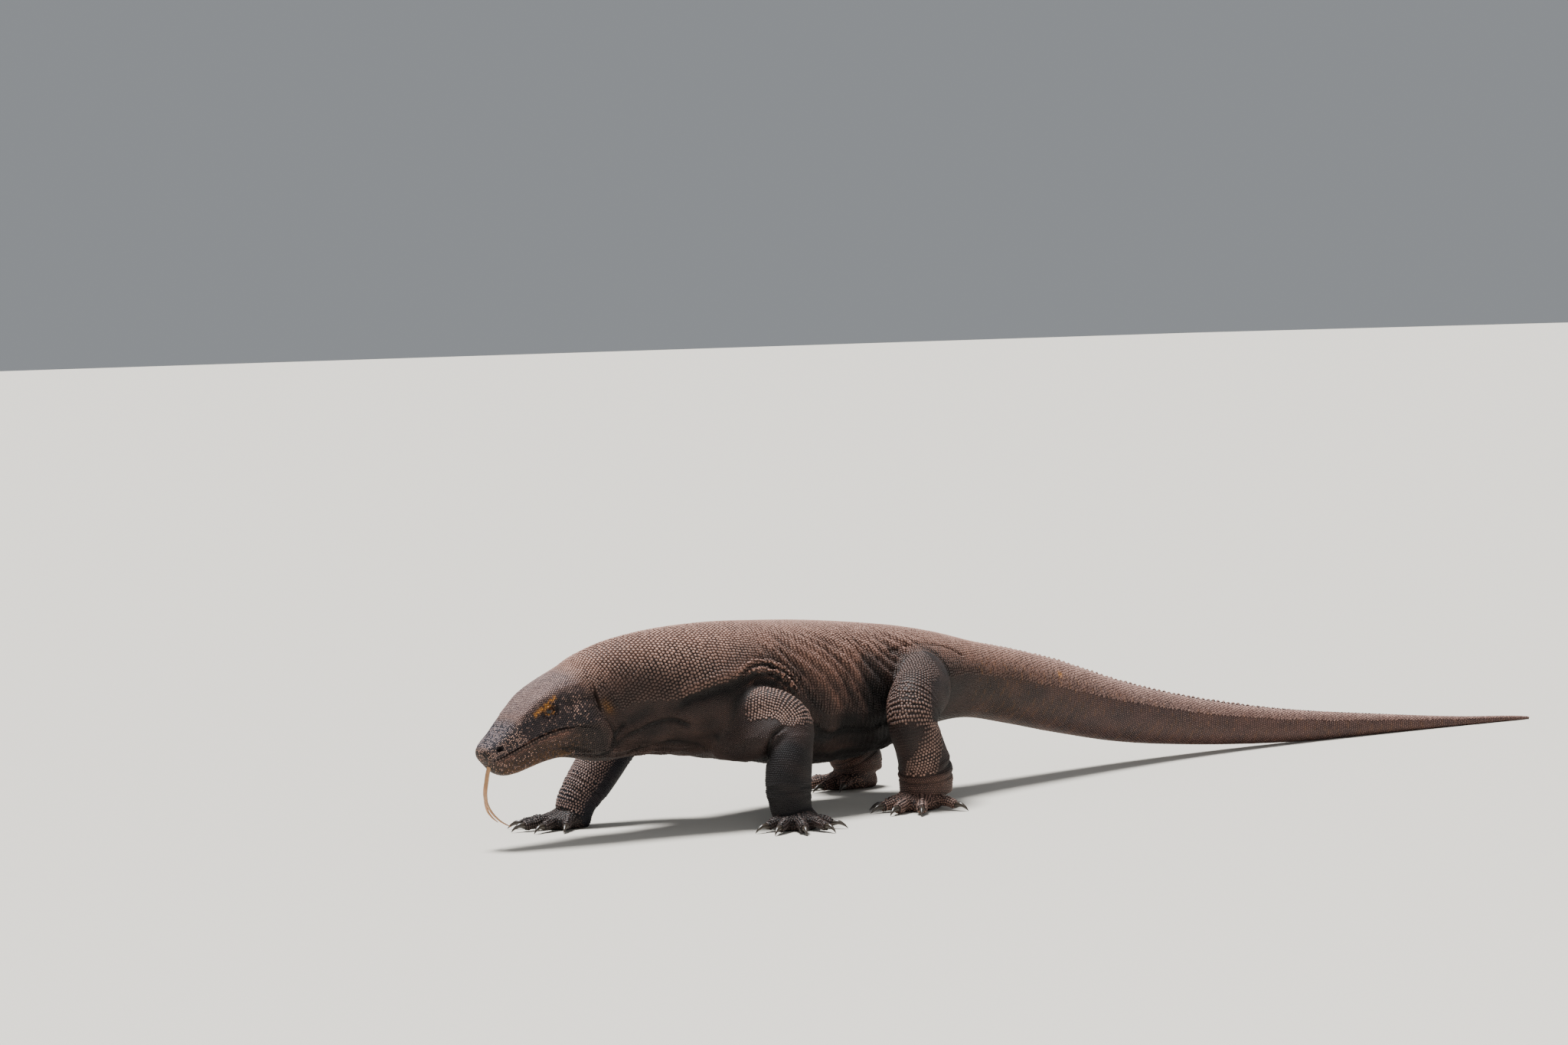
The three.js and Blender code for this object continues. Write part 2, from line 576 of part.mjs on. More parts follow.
// Limbs, cut free of the body by the clearance.
const room = loft(swollen(bodyRings(8, 23, 20, EVEN, true, true), GAP + 0.15));
for (const [name, limb] of Object.entries(LIMBS)) {
  const left = name.startsWith('left');
  const outward = V(0.1, left ? -1 : 1, 0.15).normalize();
  const [upperName, lowerName, footName] = name.endsWith('arm')
    ? ['upper_arm', 'forearm', 'hand'] : ['thigh', 'shin', 'foot'];
  const sideName = left ? 'left' : 'right';
  const whole = (from, to) => loft(limbRings(limb.line, from, to, outward));
  const end = limb.line.length - 1;
  const elbow = limbPlane(limb.line, limb.elbow);
  const wrist = limbPlane(limb.line, limb.wrist);
  let upper = elbow.before(whole(0, limb.elbow));
  let lower = wrist.before(elbow.after(whole(limb.elbow, limb.wrist)));
  if (limb.fold) {
    const rings = limbRings(limb.fold, 0, limb.fold.length - 1, V(0, 0, 1), 12, 20);
    upper = upper.add(loft(rings));
    lower = lower.subtract(loft(swollen(rings, GAP + 0.1)));
  }
  const { bodies, claws } = toesOf(limb.foot, left ? -1 : 1);
  const foot = wrist.after(Manifold.union([palmOf(limb.foot), whole(limb.wrist, end),
    ...bodies]));
  add(`${sideName}_${upperName}`, biggest(upper.subtract(room)), 'hide');
  add(`${sideName}_${lowerName}`, biggest(lower.subtract(room)), 'hide');
  add(`${sideName}_${footName}`, biggest(aboveFloor(foot)), 'hide_dark');
  claws.forEach((claw, i) => add(`${sideName}_${footName}_claw_${i + 1}`,
    aboveFloor(claw), 'claw'));
}

// ---------------------------------------------------------------- assembly
const meshes = parts.map(({ name, solid, slot }) => {
  const { vertProperties, triVerts, numProp } = solid.getMesh();
  const geometry = new THREE.BufferGeometry();
  const flat = new Float32Array(triVerts.length * 3);
  triVerts.forEach((v, i) => {
    for (let n = 0; n < 3; n += 1) flat[i * 3 + n] = vertProperties[v * numProp + n];
  });
  geometry.setAttribute('position', new THREE.BufferAttribute(flat, 3));
  const mesh = new THREE.Mesh(geometry, new THREE.MeshStandardMaterial({
    color: COLOURS[slot], roughness: slot === 'eye' ? 0.2 : 0.75, metalness: 0,
  }));
  mesh.name = name;
  return mesh;
});

// The origin is the middle of the underside of the whole.
const box = new THREE.Box3();
for (const mesh of meshes) {
  mesh.geometry.computeBoundingBox();
  box.union(mesh.geometry.boundingBox);
}
const centre = box.getCenter(V(0, 0, 0));
const group = new THREE.Group();
group.name = 'komodo_dragon';
for (const mesh of meshes) {
  mesh.geometry.translate(-centre.x, -centre.y, -box.min.z);
  mesh.geometry.computeVertexNormals();
  group.add(mesh);
}

export default group;
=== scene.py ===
# %% [markdown]
# # A Komodo dragon in mid-stride
# The animal is a heavy monitor lizard: a wedge-shaped head carried low, a thick neck, a
# long barrel of a trunk slung between four stout bent legs, and a tail longer than the
# body. What the eye reads first is the hide, thousands of small horny beads laid in rows
# with dark skin between them. The lesson makes one skin over the whole body, lays the
# beads on it, and then adds eyes, claws and tongue.

# %% Load the frame that every piece is built in
import json
import math
import bpy
import bmesh
import numpy as np
from mathutils import Matrix, Vector
from mathutils.bvhtree import BVHTree
from mathutils.kdtree import KDTree

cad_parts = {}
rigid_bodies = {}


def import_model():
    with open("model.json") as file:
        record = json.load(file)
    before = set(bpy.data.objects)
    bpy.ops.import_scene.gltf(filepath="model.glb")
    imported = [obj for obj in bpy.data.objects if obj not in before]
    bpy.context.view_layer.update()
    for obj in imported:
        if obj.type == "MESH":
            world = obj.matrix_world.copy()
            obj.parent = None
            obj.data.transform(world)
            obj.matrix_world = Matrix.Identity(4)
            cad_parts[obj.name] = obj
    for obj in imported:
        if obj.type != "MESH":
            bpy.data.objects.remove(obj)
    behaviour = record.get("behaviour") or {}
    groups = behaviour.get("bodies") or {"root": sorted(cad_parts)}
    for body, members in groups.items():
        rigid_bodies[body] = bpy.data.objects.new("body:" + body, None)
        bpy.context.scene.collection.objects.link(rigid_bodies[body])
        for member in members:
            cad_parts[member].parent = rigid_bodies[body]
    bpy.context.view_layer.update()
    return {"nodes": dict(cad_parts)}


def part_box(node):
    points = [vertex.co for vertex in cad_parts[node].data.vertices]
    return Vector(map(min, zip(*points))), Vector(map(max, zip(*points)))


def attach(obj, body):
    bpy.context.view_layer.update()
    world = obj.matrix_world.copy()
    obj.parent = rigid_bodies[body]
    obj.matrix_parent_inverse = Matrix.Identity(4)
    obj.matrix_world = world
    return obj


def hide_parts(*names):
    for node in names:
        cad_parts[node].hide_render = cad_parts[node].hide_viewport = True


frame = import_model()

chance = np.random.default_rng(7)
link = bpy.context.scene.collection.objects.link

# %% [markdown]
# ## The camera
# A long lens from in front of the left shoulder comes first, so that every picture shows
# the same view. The body's own frame has its origin between the shoulders; the packed
# model has it under its middle, and the left eye shows how far they are apart.

# %% Find the shift between the body's own frame and the imported model
# The head's own frame: where it joins the neck, how far it looks down, and its three ways.
HEAD_AT = np.array([-250.0, 0.0, 205.0])
HEAD_PITCH = math.radians(27)
FORWARD = np.array([-math.cos(HEAD_PITCH), 0, -math.sin(HEAD_PITCH)])
SIDE = np.array([0.0, -1, 0])
UP = np.array([-math.sin(HEAD_PITCH), 0, math.cos(HEAD_PITCH)])
EYE_U, EYE_SIDE, EYE_UP, EYE_RADIUS = 88.0, 32.5, 46.0, 10.0


def head_point(u, side, height):
    return HEAD_AT + u * FORWARD + side * SIDE + height * UP


low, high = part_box("left_eye")
SHIFT = (np.array(low) + np.array(high)) / 2 - head_point(EYE_U, EYE_SIDE, EYE_UP) / 1000


def to_model(points):
    """Millimetres in the body's own frame to metres in the model's frame."""
    return np.asarray(points) / 1000 + SHIFT


def to_body(points):
    """Metres in the model's frame to millimetres in the body's own frame."""
    return (np.asarray(points) - SHIFT) * 1000


print("shift in metres", SHIFT.round(4))

# %% [markdown]
# The camera looks a little down and is hardly tilted. Lens and horizon are given in pixels
# of a picture 2048 wide, its place as three distances from the body's own origin.

# %% Place the camera
PICTURE_WIDTH, MIDDLE_ROW, HORIZON_ROW = 2048, 682.5, 437
LENS_IN_PIXELS = 5200
FILM_WIDTH = 36
CAMERA_BACK, CAMERA_ASIDE, CAMERA_HIGH = 6.257, 0.116, 0.7635
turn, roll = math.radians(-39), math.radians(-1.72)
pitch = math.atan((MIDDLE_ROW - HORIZON_ROW) / LENS_IN_PIXELS)
away = Vector((-math.sin(turn), math.cos(turn), 0))
across = Vector((math.cos(turn), math.sin(turn), 0))
look = away * math.cos(pitch) - Vector((0, 0, math.sin(pitch)))
above = away * math.sin(pitch) + Vector((0, 0, math.cos(pitch)))
right = across * math.cos(roll) + above * math.sin(roll)
above = above * math.cos(roll) - across * math.sin(roll)
camera = bpy.data.objects.new("camera", bpy.data.cameras.new("camera"))
link(camera)
camera.data.lens = LENS_IN_PIXELS / PICTURE_WIDTH * FILM_WIDTH
camera.matrix_world = Matrix((right, above, -look)).transposed().to_4x4()
camera.location = (-away * CAMERA_BACK + across * CAMERA_ASIDE + Vector((0, 0, CAMERA_HIGH))
                   + Vector(SHIFT))
bpy.context.scene.camera = camera
print("lens", round(camera.data.lens, 1), "mm, camera at", camera.location[:])

# %% [markdown]
# ## The form of the body
# From snout to tail tip the body is one long tube whose cross-section keeps changing:
# wedge-shaped at the snout, tall at the neck, broad at the belly, slim in the tail. A loft
# through a few sections says all of that in a small table, and gives every spot on the
# hide two numbers that the scales follow later: how far along it lies, and on which of
# twenty rows round the body.

# %% The sections, in millimetres
# Head: forward, crown height, then side and height of brow, temple, cheek, upper lip,
# mouth line, lower lip and jaw edge, then throat height.
HEAD = [
    [209, 41, 6, 39, 9, 37, 10, 34, 8.5, 31, 7, 29.5, 6.5, 28.5, 5, 27, 26],
    [206.5, 45, 10, 43, 15, 38, 17, 33, 16, 29, 14, 26.5, 13.5, 24.5, 9, 20, 18],
    [201, 47, 14, 45.5, 20, 41, 22, 35, 21.5, 28, 19.5, 25, 19.5, 20, 12, 7, 2],
    [190, 50.5, 18, 48.5, 25, 43.5, 27, 36, 26, 27, 24, 24, 24.5, 15, 16, -3, -10],
    [171, 55, 21, 52, 28, 46.5, 31, 37.5, 31, 26.5, 28.5, 23.5, 29, 12, 21, -9, -18],
    [148, 60.5, 25, 58, 31, 50, 35, 38, 35.5, 26, 33, 22.5, 33.5, 10, 25, -13, -23],
    [120, 66.5, 29, 65, 35, 54, 39, 37, 40.5, 23.5, 37.5, 20, 38.5, 6, 29, -19, -29],
    [92, 72, 34, 70.5, 37, 58, 43, 34, 46, 18.5, 43.5, 14.5, 45, 0, 34, -28, -39],
    [65, 76, 36, 71, 42, 55, 49, 30, 52.5, 12, 51.5, 4, 52, -9, 41, -39, -57],
    [38, 78, 38, 68, 48, 48, 55, 26, 57.5, 6, 57.5, -9, 55, -27, 45, -58, -79],
    [10, 78, 40, 63, 52, 42, 59, 19, 61.5, -5, 60.5, -25, 56, -48, 45, -77, -94],
]
# Trunk and tail: x, z of the back; x, z of the belly; sideways place; half width; height
# of the widest level as a share; squareness.
BODY = [
    [-268, 284, -183, 118, -2, 62, 0.48, 2.1],
    [-215, 300, -152, 118, -4, 67, 0.46, 2.1],
    [-150, 310, -110, 115, -6, 75, 0.45, 2.2],
    [-80, 315, -62, 108, -6, 88, 0.44, 2.2],
    [0, 316, 0, 97, -4, 99, 0.43, 2.2],
    [80, 312, 80, 85, 4, 107, 0.42, 2.2],
    [160, 307, 160, 75, 14, 113, 0.42, 2.2],
    [240, 300, 235, 73, 20, 112, 0.43, 2.2],
    [320, 291, 310, 80, 22, 103, 0.45, 2.2],
    [400, 280, 388, 97, 22, 89, 0.48, 2.15],
    [480, 264, 466, 114, 24, 70, 0.5, 2.1],
    [560, 244, 548, 116, 30, 58, 0.5, 2.1],
    [660, 223, 650, 97, 40, 52, 0.5, 2.1],
    [780, 193, 768, 71, 52, 45, 0.5, 2.1],
    [940, 144, 928, 40, 64, 37, 0.48, 2.05],
    [1100, 105, 1090, 20, 70, 29, 0.46, 2],
    [1270, 73, 1265, 6, 66, 22.5, 0.44, 2],
    [1440, 50, 1437, -1, 52, 17, 0.42, 2],
    [1610, 32, 1608, -1, 32, 12, 0.42, 2],
    [1760, 18, 1759, -1, 10, 7.5, 0.42, 2],
    [1880, 10, 1880, -0.8, -10, 4.5, 0.42, 2],
    [1920, 6, 1920, -0.5, -17, 3, 0.42, 2],
]
# Soft swellings on both sides: section, row, reach along and around, height.
SWELLS = [
    [9.2, 6.8, 1, 1.3, 4],  # jowls
    [11, 6.3, 0.6, 2, -4],  # crease behind the jaw
    [14.4, 5, 1.2, 1.6, 6],  # shoulders
    [16.2, 6.6, 0.5, 1.5, -4],  # hollow behind the arm
    [18.8, 7.4, 1.2, 0.9, 5],  # fold along the lower flank
    [20.2, 4.6, 1.1, 1.6, 7],  # hips
]
print(len(HEAD), "head sections and", len(BODY), "of trunk and tail")


# %% [markdown]
# Each row becomes a closed ring. Only one half is written down, the other is its mirror
# image. The trunk's rings are rounded squares, widest low down, as a heavy belly hangs.

# %% Turn the tables into closed rings of twenty points
def mirrored(half, place):
    return [place(s, h) for s, h in half] + [place(-s, h) for s, h in half[-2:0:-1]]


def head_ring(row):
    u, crown, bs, bh, ts, th, cs, ch, ls, lh, ms, mh, js, jh, ks, kh, low = row
    half = [(0, crown), (bs * 0.55, crown + (bh - crown) * 0.3), (bs, bh), (ts, th),
            (cs, ch), (ls, lh), (ms, mh), (js, jh), (ks, kh),
            (ks * 0.58, low + (kh - low) * 0.22), (0, low)]
    return mirrored(half, lambda s, h: head_point(u, s, h))


def body_ring(i):
    xt, zt, xb, zb, y, half_width, widest, square = BODY[i]
    before, after = BODY[max(i - 1, 0)], BODY[min(i + 1, len(BODY) - 1)]
    heading = math.atan2(after[4] - before[4], after[0] - before[0])
    up = np.array([xt - xb, 0.0, zt - zb])
    height = np.linalg.norm(up)
    up /= height
    side = np.array([math.sin(heading), -math.cos(heading), 0])
    half = []
    for k in range(11):
        s, c = math.sin(k * math.pi / 10), math.cos(k * math.pi / 10)
        reach = (1 - widest) * height if c > 0 else widest * height
        half.append((half_width * abs(s) ** (2 / square), widest * height
                     + reach * math.copysign(abs(c) ** (2 / square), c)))
    base = np.array([xb, y, zb])
    return mirrored(half, lambda s, h: base + s * side + h * up)


# %% [markdown]
# Jowls, shoulders and hips are muscle under the skin: soft hills laid on the rings.

# %% Build the rings and add the soft swellings
SECTIONS = np.array([head_ring(r) for r in HEAD] + [body_ring(i) for i in range(len(BODY))])
middles = SECTIONS.mean(1)
STATIONS = np.concatenate([[0], np.cumsum(np.linalg.norm(np.diff(middles, axis=0), axis=1))])
both_sides = [(section, row, *rest) for section, left, *rest in SWELLS for row in (left, 20 - left)]
for section, row, along, around, height in both_sides:
    for i, ring in enumerate(SECTIONS):
        middle = ring.mean(0)
        for k in range(20):
            gap = min(abs(k - row), 20 - abs(k - row))
            gain = height * math.exp(-((i - section) / along) ** 2 - (gap / around) ** 2)
            ring[k] += (ring[k] - middle) / np.linalg.norm(ring[k] - middle) * gain
print(len(SECTIONS), "sections,", round(STATIONS[-1]), "mm from snout to tail tip")


# %% [markdown]
# Straight walls between rings would show as bands, so a cubic runs through the points along
# the body and round it. The same functions later give every scale its place and direction.

# %% A smooth surface through the rings
def smooth(values, knots, at):
    """Cubic through uneven stations, slopes taken from each one's neighbours."""
    values, knots, at = np.asarray(values, float), np.asarray(knots, float), np.asarray(at, float)
    wide = (slice(None),) + (None,) * (values.ndim - 1)
    slope = np.empty_like(values)
    slope[1:-1] = (values[2:] - values[:-2]) / (knots[2:] - knots[:-2])[wide]
    slope[0] = (values[1] - values[0]) / (knots[1] - knots[0])
    slope[-1] = (values[-1] - values[-2]) / (knots[-1] - knots[-2])
    i = np.clip(np.searchsorted(knots, at, side="right") - 1, 0, len(knots) - 2)
    span = (knots[i + 1] - knots[i])[wide]
    f = ((at - knots[i]) / (knots[i + 1] - knots[i]))[wide]
    return ((2 * f**3 - 3 * f**2 + 1) * values[i] + (f**3 - 2 * f**2 + f) * span * slope[i]
            + (3 * f**2 - 2 * f**3) * values[i + 1] + (f**3 - f**2) * span * slope[i + 1])


def body_point(s, t):
    """Points of the body at s millimetres from the snout, on row t of twenty."""
    ring = smooth(SECTIONS, STATIONS, s)
    i = np.floor(t).astype(int)
    f = (t - i)[:, None]
    n = np.arange(len(s))
    p = [ring[n, (i + k) % 20] for k in (-1, 0, 1, 2)]
    m0, m1 = (p[2] - p[0]) / 2, (p[3] - p[1]) / 2
    return ((2 * f**3 - 3 * f**2 + 1) * p[1] + (f**3 - 2 * f**2 + f) * m0
            + (3 * f**2 - 2 * f**3) * p[2] + (f**3 - f**2) * m1)


def body_frame(s, t):
    """Points, outward normals and tailward directions."""
    p = body_point(s, t)
    tail = body_point(np.minimum(s + 1, STATIONS[-1]), t) - body_point(np.maximum(s - 1, 0), t)
    round_ = body_point(s, t + 0.04) - body_point(s, t - 0.04)
    normal = np.cross(round_, tail)
    normal /= np.linalg.norm(normal, axis=1)[:, None] + 1e-12
    tail /= np.linalg.norm(tail, axis=1)[:, None] + 1e-12
    return p, normal, tail


def station(section):
    """Millimetres from the snout at a fractional section number."""
    return np.interp(section, np.arange(len(STATIONS)), STATIONS)


def section_at(s):
    """The fractional section number at s millimetres from the snout."""
    return np.interp(s, STATIONS, np.arange(len(STATIONS)))


test = body_frame(np.array([station(15.0)] * 2), np.array([0.0, 5.0]))
print("back and left flank face", test[1].round(2).tolist())

# %% [markdown]
# ## Legs
# Each leg is a bent, tapering tube, and each hand or foot a low pad with five splayed
# toes. The same loft idea works again: a middle line with two half widths at each stop.
# A leg can be moved by its table, without touching its mesh.

# %% Leg tables: x, y, z, half width across, half width fore and aft
LIMBS = {
    "left_arm": dict(
        line=[[-34, -62, 182, 30, 36], [-6, -100, 182, 32, 36], [22, -127, 177, 32, 35],
              [35, -145, 157, 32, 35], [24, -156, 127, 33, 36], [13, -163, 98, 34, 38],
              [8, -166, 66, 33, 39], [9, -168, 40, 31, 37], [12, -170, 22, 29, 35]],
        at=(14, -174), turn=60, length=44, width=36, toes="hand", outward=(0.1, -1, 0.15)),
    "right_arm": dict(
        line=[[-10, 66, 200, 38, 44], [-50, 98, 176, 35, 42], [-88, 112, 150, 33, 39],
              [-119, 115, 124, 34, 40], [-143, 117, 96, 33, 40], [-166, 119, 68, 32, 38],
              [-187, 121, 42, 29, 34], [-196, 122, 22, 28, 32]],
        at=(-198, 124), turn=-10, length=44, width=35, toes="hand", outward=(0.1, 1, 0.15)),
    "left_leg": dict(
        line=[[400, -24, 190, 50, 56], [368, -74, 190, 45, 54], [330, -110, 180, 41, 49],
              [298, -131, 162, 40, 46], [288, -141, 132, 38, 41], [298, -143, 101, 38, 42],
              [309, -141, 70, 40, 45], [313, -139, 44, 42, 47], [312, -139, 24, 40, 46]],
        at=(304, -140), turn=16, length=56, width=38, toes="foot", outward=(0.1, -1, 0.15)),
    "right_leg": dict(
        line=[[402, 62, 190, 50, 56], [378, 108, 184, 46, 52], [352, 142, 166, 40, 46],
              [356, 162, 138, 38, 43], [384, 172, 106, 38, 43], [414, 174, 74, 38, 44],
              [432, 174, 46, 38, 45], [434, 174, 26, 37, 44]],
        at=(428, 174), turn=-14, length=56, width=37, toes="foot", outward=(0.1, 1, 0.15)),
}
# Toes: bearing from the middle toe, reach from the ankle, thickness.
TOES = {
    "hand": [[56, 60, 8.5], [28, 74, 9], [0, 80, 9.5], [-28, 76, 9], [-62, 60, 8.5]],
    "foot": [[46, 62, 9], [20, 78, 9.5], [-6, 88, 10], [-32, 90, 10], [-84, 68, 9]],
}
CLAW = 25
print(len(LIMBS), "legs,", len(TOES["hand"]), "toes on each, claws", CLAW, "mm long")

# %% [markdown]
# The left arm is bent under the weight of the chest, and its skin hangs loose across the
# bend of the elbow. Two short fat tubes make that bag: one fills the bend, the other is the
# fold that hangs from the upper arm.

# %% The loose skin at the left elbow
ELBOW_FOLD = [[-40, -50, 136, 34, 30], [-16, -98, 135, 33, 33], [3, -135, 144, 27, 35],
              [17, -149, 158, 18, 29]]
ELBOW_FILL = [[-34, -60, 160, 26, 30], [-12, -100, 160, 26, 33], [8, -130, 160, 24, 33],
              [22, -143, 160, 18, 30]]
# One side of a tube faces this way all along it, so that it doesn't twist where it bends.
BAG_FACING = (0, 0, 1)
TOE_FACING = (0.02, 0.015, 1)
print("the bag hangs down to", min(z - tall for _, _, z, _, tall in ELBOW_FOLD), "mm")

# %% [markdown]
# A leg is an ellipse carried along a middle line. Like the body it needs a point for any
# place along and round it, and the way out of its skin.

# %% A tube along a middle line
def knots_of(line):
    line = np.asarray(line, float)
    gaps = np.linalg.norm(np.diff(line[:, :3], axis=0), axis=1)
    return np.concatenate([[0], np.cumsum(gaps)])


def tube_frame(line, outward, along, angle):
    """Points, outward normals and lengthwise directions on a tube."""
    knots = knots_of(line)
    here = smooth(line, knots, along)
    ahead = smooth(line, knots, np.minimum(along + 2, knots[-1]))
    behind = smooth(line, knots, np.maximum(along - 2, 0))
    axis = (ahead - behind)[:, :3]
    axis /= np.linalg.norm(axis, axis=1)[:, None]
    side = np.asarray(outward, float) - axis * (axis @ np.asarray(outward, float))[:, None]
    side /= np.linalg.norm(side, axis=1)[:, None]
    front = np.cross(axis, side)
    c, s = np.cos(angle)[:, None], np.sin(angle)[:, None]
    point = here[:, :3] + side * here[:, 3:4] * c + front * here[:, 4:5] * s
    normal = side * c / here[:, 3:4] + front * s / here[:, 4:5]
    normal /= np.linalg.norm(normal, axis=1)[:, None]
    return point, normal, axis


print("left arm", round(knots_of(LIMBS["left_arm"]["line"])[-1]), "mm along its middle")

# %% [markdown]
# A grid of rings becomes a mesh by joining neighbours and closing both ends on a middle
# point, because the union of body and legs needs closed shapes.

# %% Meshes from grids of points
def mesh_object(name, points, faces):
    """A new object from points in the model's metres and lists of corners."""
    mesh = bpy.data.meshes.new(name)
    mesh.from_pydata([tuple(p) for p in points], [], faces)
    mesh.validate()
    made = bpy.data.objects.new(name, mesh)
    link(made)
    return made


def closed_grid(name, grid):
    """A closed tube from rings of points (rings, around, 3), ends shut on their middles."""
    rings, around = grid.shape[:2]
    r, k = np.meshgrid(np.arange(rings - 1), np.arange(around), indexing="ij")
    a, b = r * around + k, r * around + (k + 1) % around
    faces = np.stack([a, b, b + around, a + around], -1).reshape(-1, 4).tolist()
    points = np.concatenate([grid.reshape(-1, 3), [grid[0].mean(0), grid[-1].mean(0)]])
    first, end = rings * around, rings * around + 1
    start = (rings - 1) * around
    for k in range(around):
        faces.append([first, (k + 1) % around, k])
        faces.append([end, start + k, start + (k + 1) % around])
    made = mesh_object(name, points, faces)
    work = bmesh.new()
    work.from_mesh(made.data)
    bmesh.ops.recalc_face_normals(work, faces=work.faces)
    if work.calc_volume(signed=True) < 0:
        bmesh.ops.reverse_faces(work, faces=work.faces)
    work.to_mesh(made.data)
    work.free()
    return made


def finished_mesh(made):
    """The plain mesh that an object's modifiers give."""
    graph = bpy.context.evaluated_depsgraph_get()
    return bpy.data.meshes.new_from_object(made.evaluated_get(graph))


def numbers(items, name, width, kind=np.float32):
    """One property of many items, as rows of numbers."""
    out = np.empty(len(items) * width, kind)
    items.foreach_get(name, out)
    return out.reshape(-1, width)


def shade_smooth(mesh):
    for polygon in mesh.polygons:
        polygon.use_smooth = True


# %% [markdown]
# ## Folds, lids and openings
# Skin that is looser than the body under it falls into folds: long ones under the jaw and
# along the neck, close wrinkles on the flank, rings at wrist and ankle. They could be
# sculpted by hand, but as small waves added to the surface each sits where a table says.

# %% A bump and a step, the two curves that every fold is made of
def bump(x, centre, width):
    """One at the centre, fading to nothing about two widths away."""
    return np.exp(-((x - centre) / width) ** 2)


def step(x, a, b):
    """Nothing up to a, one from b on, and an even slope between."""
    f = np.clip((x - a) / (b - a), 0, 1)
    return f * f * (3 - 2 * f)


print("a bump is", round(float(bump(1, 0, 1)), 2), "high one width from its middle")

# %% [markdown]
# Neck and shoulders carry a shawl of coarse pale beads, below its edge the scales are fine
# and dark. That edge and each single crease is a line drawn by section and row.

# %% The shawl's edge and the creases
# The line down each side, as section and row, above which the scales are coarse and pale.
MANTLE = np.array([
    [0, 2.2], [8.6, 2.6], [9.5, 4.6], [10.75, 5.05], [11.5, 4.8], [12.1, 4.8], [12.9, 4.95],
    [13.25, 4.7], [13.9, 4.4], [14.4, 4.2], [14.8, 3.9], [15.2, 3.95], [15.55, 4.1],
    [16.05, 4.7], [16.6, 5.3], [18.1, 5.4], [20.2, 4.8], [22.1, 4.6], [24, 4.4],
    [25.3, 3.7], [27, 3.4], [32, 3]])
# Creases: reach across in mm, depth in mm (a ridge if negative), then section, row.
CREASES = [
    (3.0, 2.8, [(9.75, 5.5), (9.9, 6.2), (9.85, 7.0), (9.65, 7.6)]),
    (3.2, 4.2, [(7.4, 8.8), (8.2, 8.7), (8.8, 8.55), (9.4, 7.95), (9.75, 7.4), (10.05, 6.75),
                (10.4, 6.3), (10.7, 6.0)]),
    (2.8, 3.4, [(6.9, 7.75), (7.4, 7.85), (7.95, 8.05), (8.5, 8.2)]),
    (4.2, 3.8, [(9.9, 7.5), (10.6, 7.0), (11.3, 6.5), (12.0, 6.1), (12.6, 5.9), (13.1, 6.25)]),
    (4.0, 3.2, [(10.6, 8.6), (11.4, 8.1), (12.2, 7.7), (13.0, 7.55), (13.6, 7.8), (14.0, 8.3)]),
    (4.5, 4.2, [(14.0, 6.9), (14.25, 7.35), (14.55, 7.8), (14.85, 8.4)]),
    (8.0, 1.8, [(11.2, 5.6), (12.0, 5.4), (12.9, 5.3)]),
    (7.5, 2.4, [(8.3, 3.5), (9.0, 3.5), (9.7, 3.7)]),
    (3.2, -1.5, [(5.7, 2.3), (6.8, 2.5), (7.7, 2.5), (8.6, 2.4), (9.6, 2.5)]),
    (3.0, -1.4, [(7.7, 5.9), (8.3, 6.3), (8.9, 6.5)]),
    (4.5, 3.6, [(18.9, 2.9), (19.3, 3.6), (19.2, 4.6), (18.8, 5.4), (18.6, 6.2)]),
    (3.8, 2.8, [(18.9, 2.9), (19.8, 2.55), (20.7, 2.75), (21.1, 3.3)]),
    (4.2, 4.6, [(15.9, 5.2), (16.3, 5.85), (16.8, 6.5), (17.2, 6.25), (17.85, 6.25),
                (18.5, 6.1)]),
    (9.0, -4.0, [(16.6, 7.2), (17.2, 7.1), (18.0, 7.1), (18.6, 6.9)]),
]
FAR = 99.0  # mm, further than any crease reaches
print(len(CREASES), "creases and ridges on each side")


def fold_half(t):
    """Rows of the right side as the rows of the left that they mirror."""
    return np.where(t > 10, 20 - t, t)


def near_line(where, s, t, path):
    """Distance in millimetres from a line given by sections and rows."""
    path = np.array(path, float)
    fine = np.linspace(0, len(path) - 1, 10 * len(path))
    line = smooth(path, np.arange(len(path)), fine)
    out = np.full(len(s), FAR)
    lo, hi = path[:, 0].min() - 1.2, path[:, 0].max() + 1.2
    close = np.nonzero((where > lo) & (where < hi))[0]
    if len(close) == 0:
        return out
    # A row is 13 mm wide at the snout and 27 mm on the trunk.
    across = 13 + 14 * step(where[close], 6, 13)
    ds = s[close, None] - station(line[:, 0])[None]
    dt = (t[close, None] - line[None, :, 1]) * across[:, None]
    out[close] = np.sqrt(ds**2 + dt**2).min(1)
    return out


# %% [markdown]
# All folds are added up into the millimetres that the skin stands out at a place. Waves
# that only repeat would look like cloth, so a slow wandering number bends most of them.

# %% How far the skin stands out at each place of the body
ROW_ON_FLANK = 27


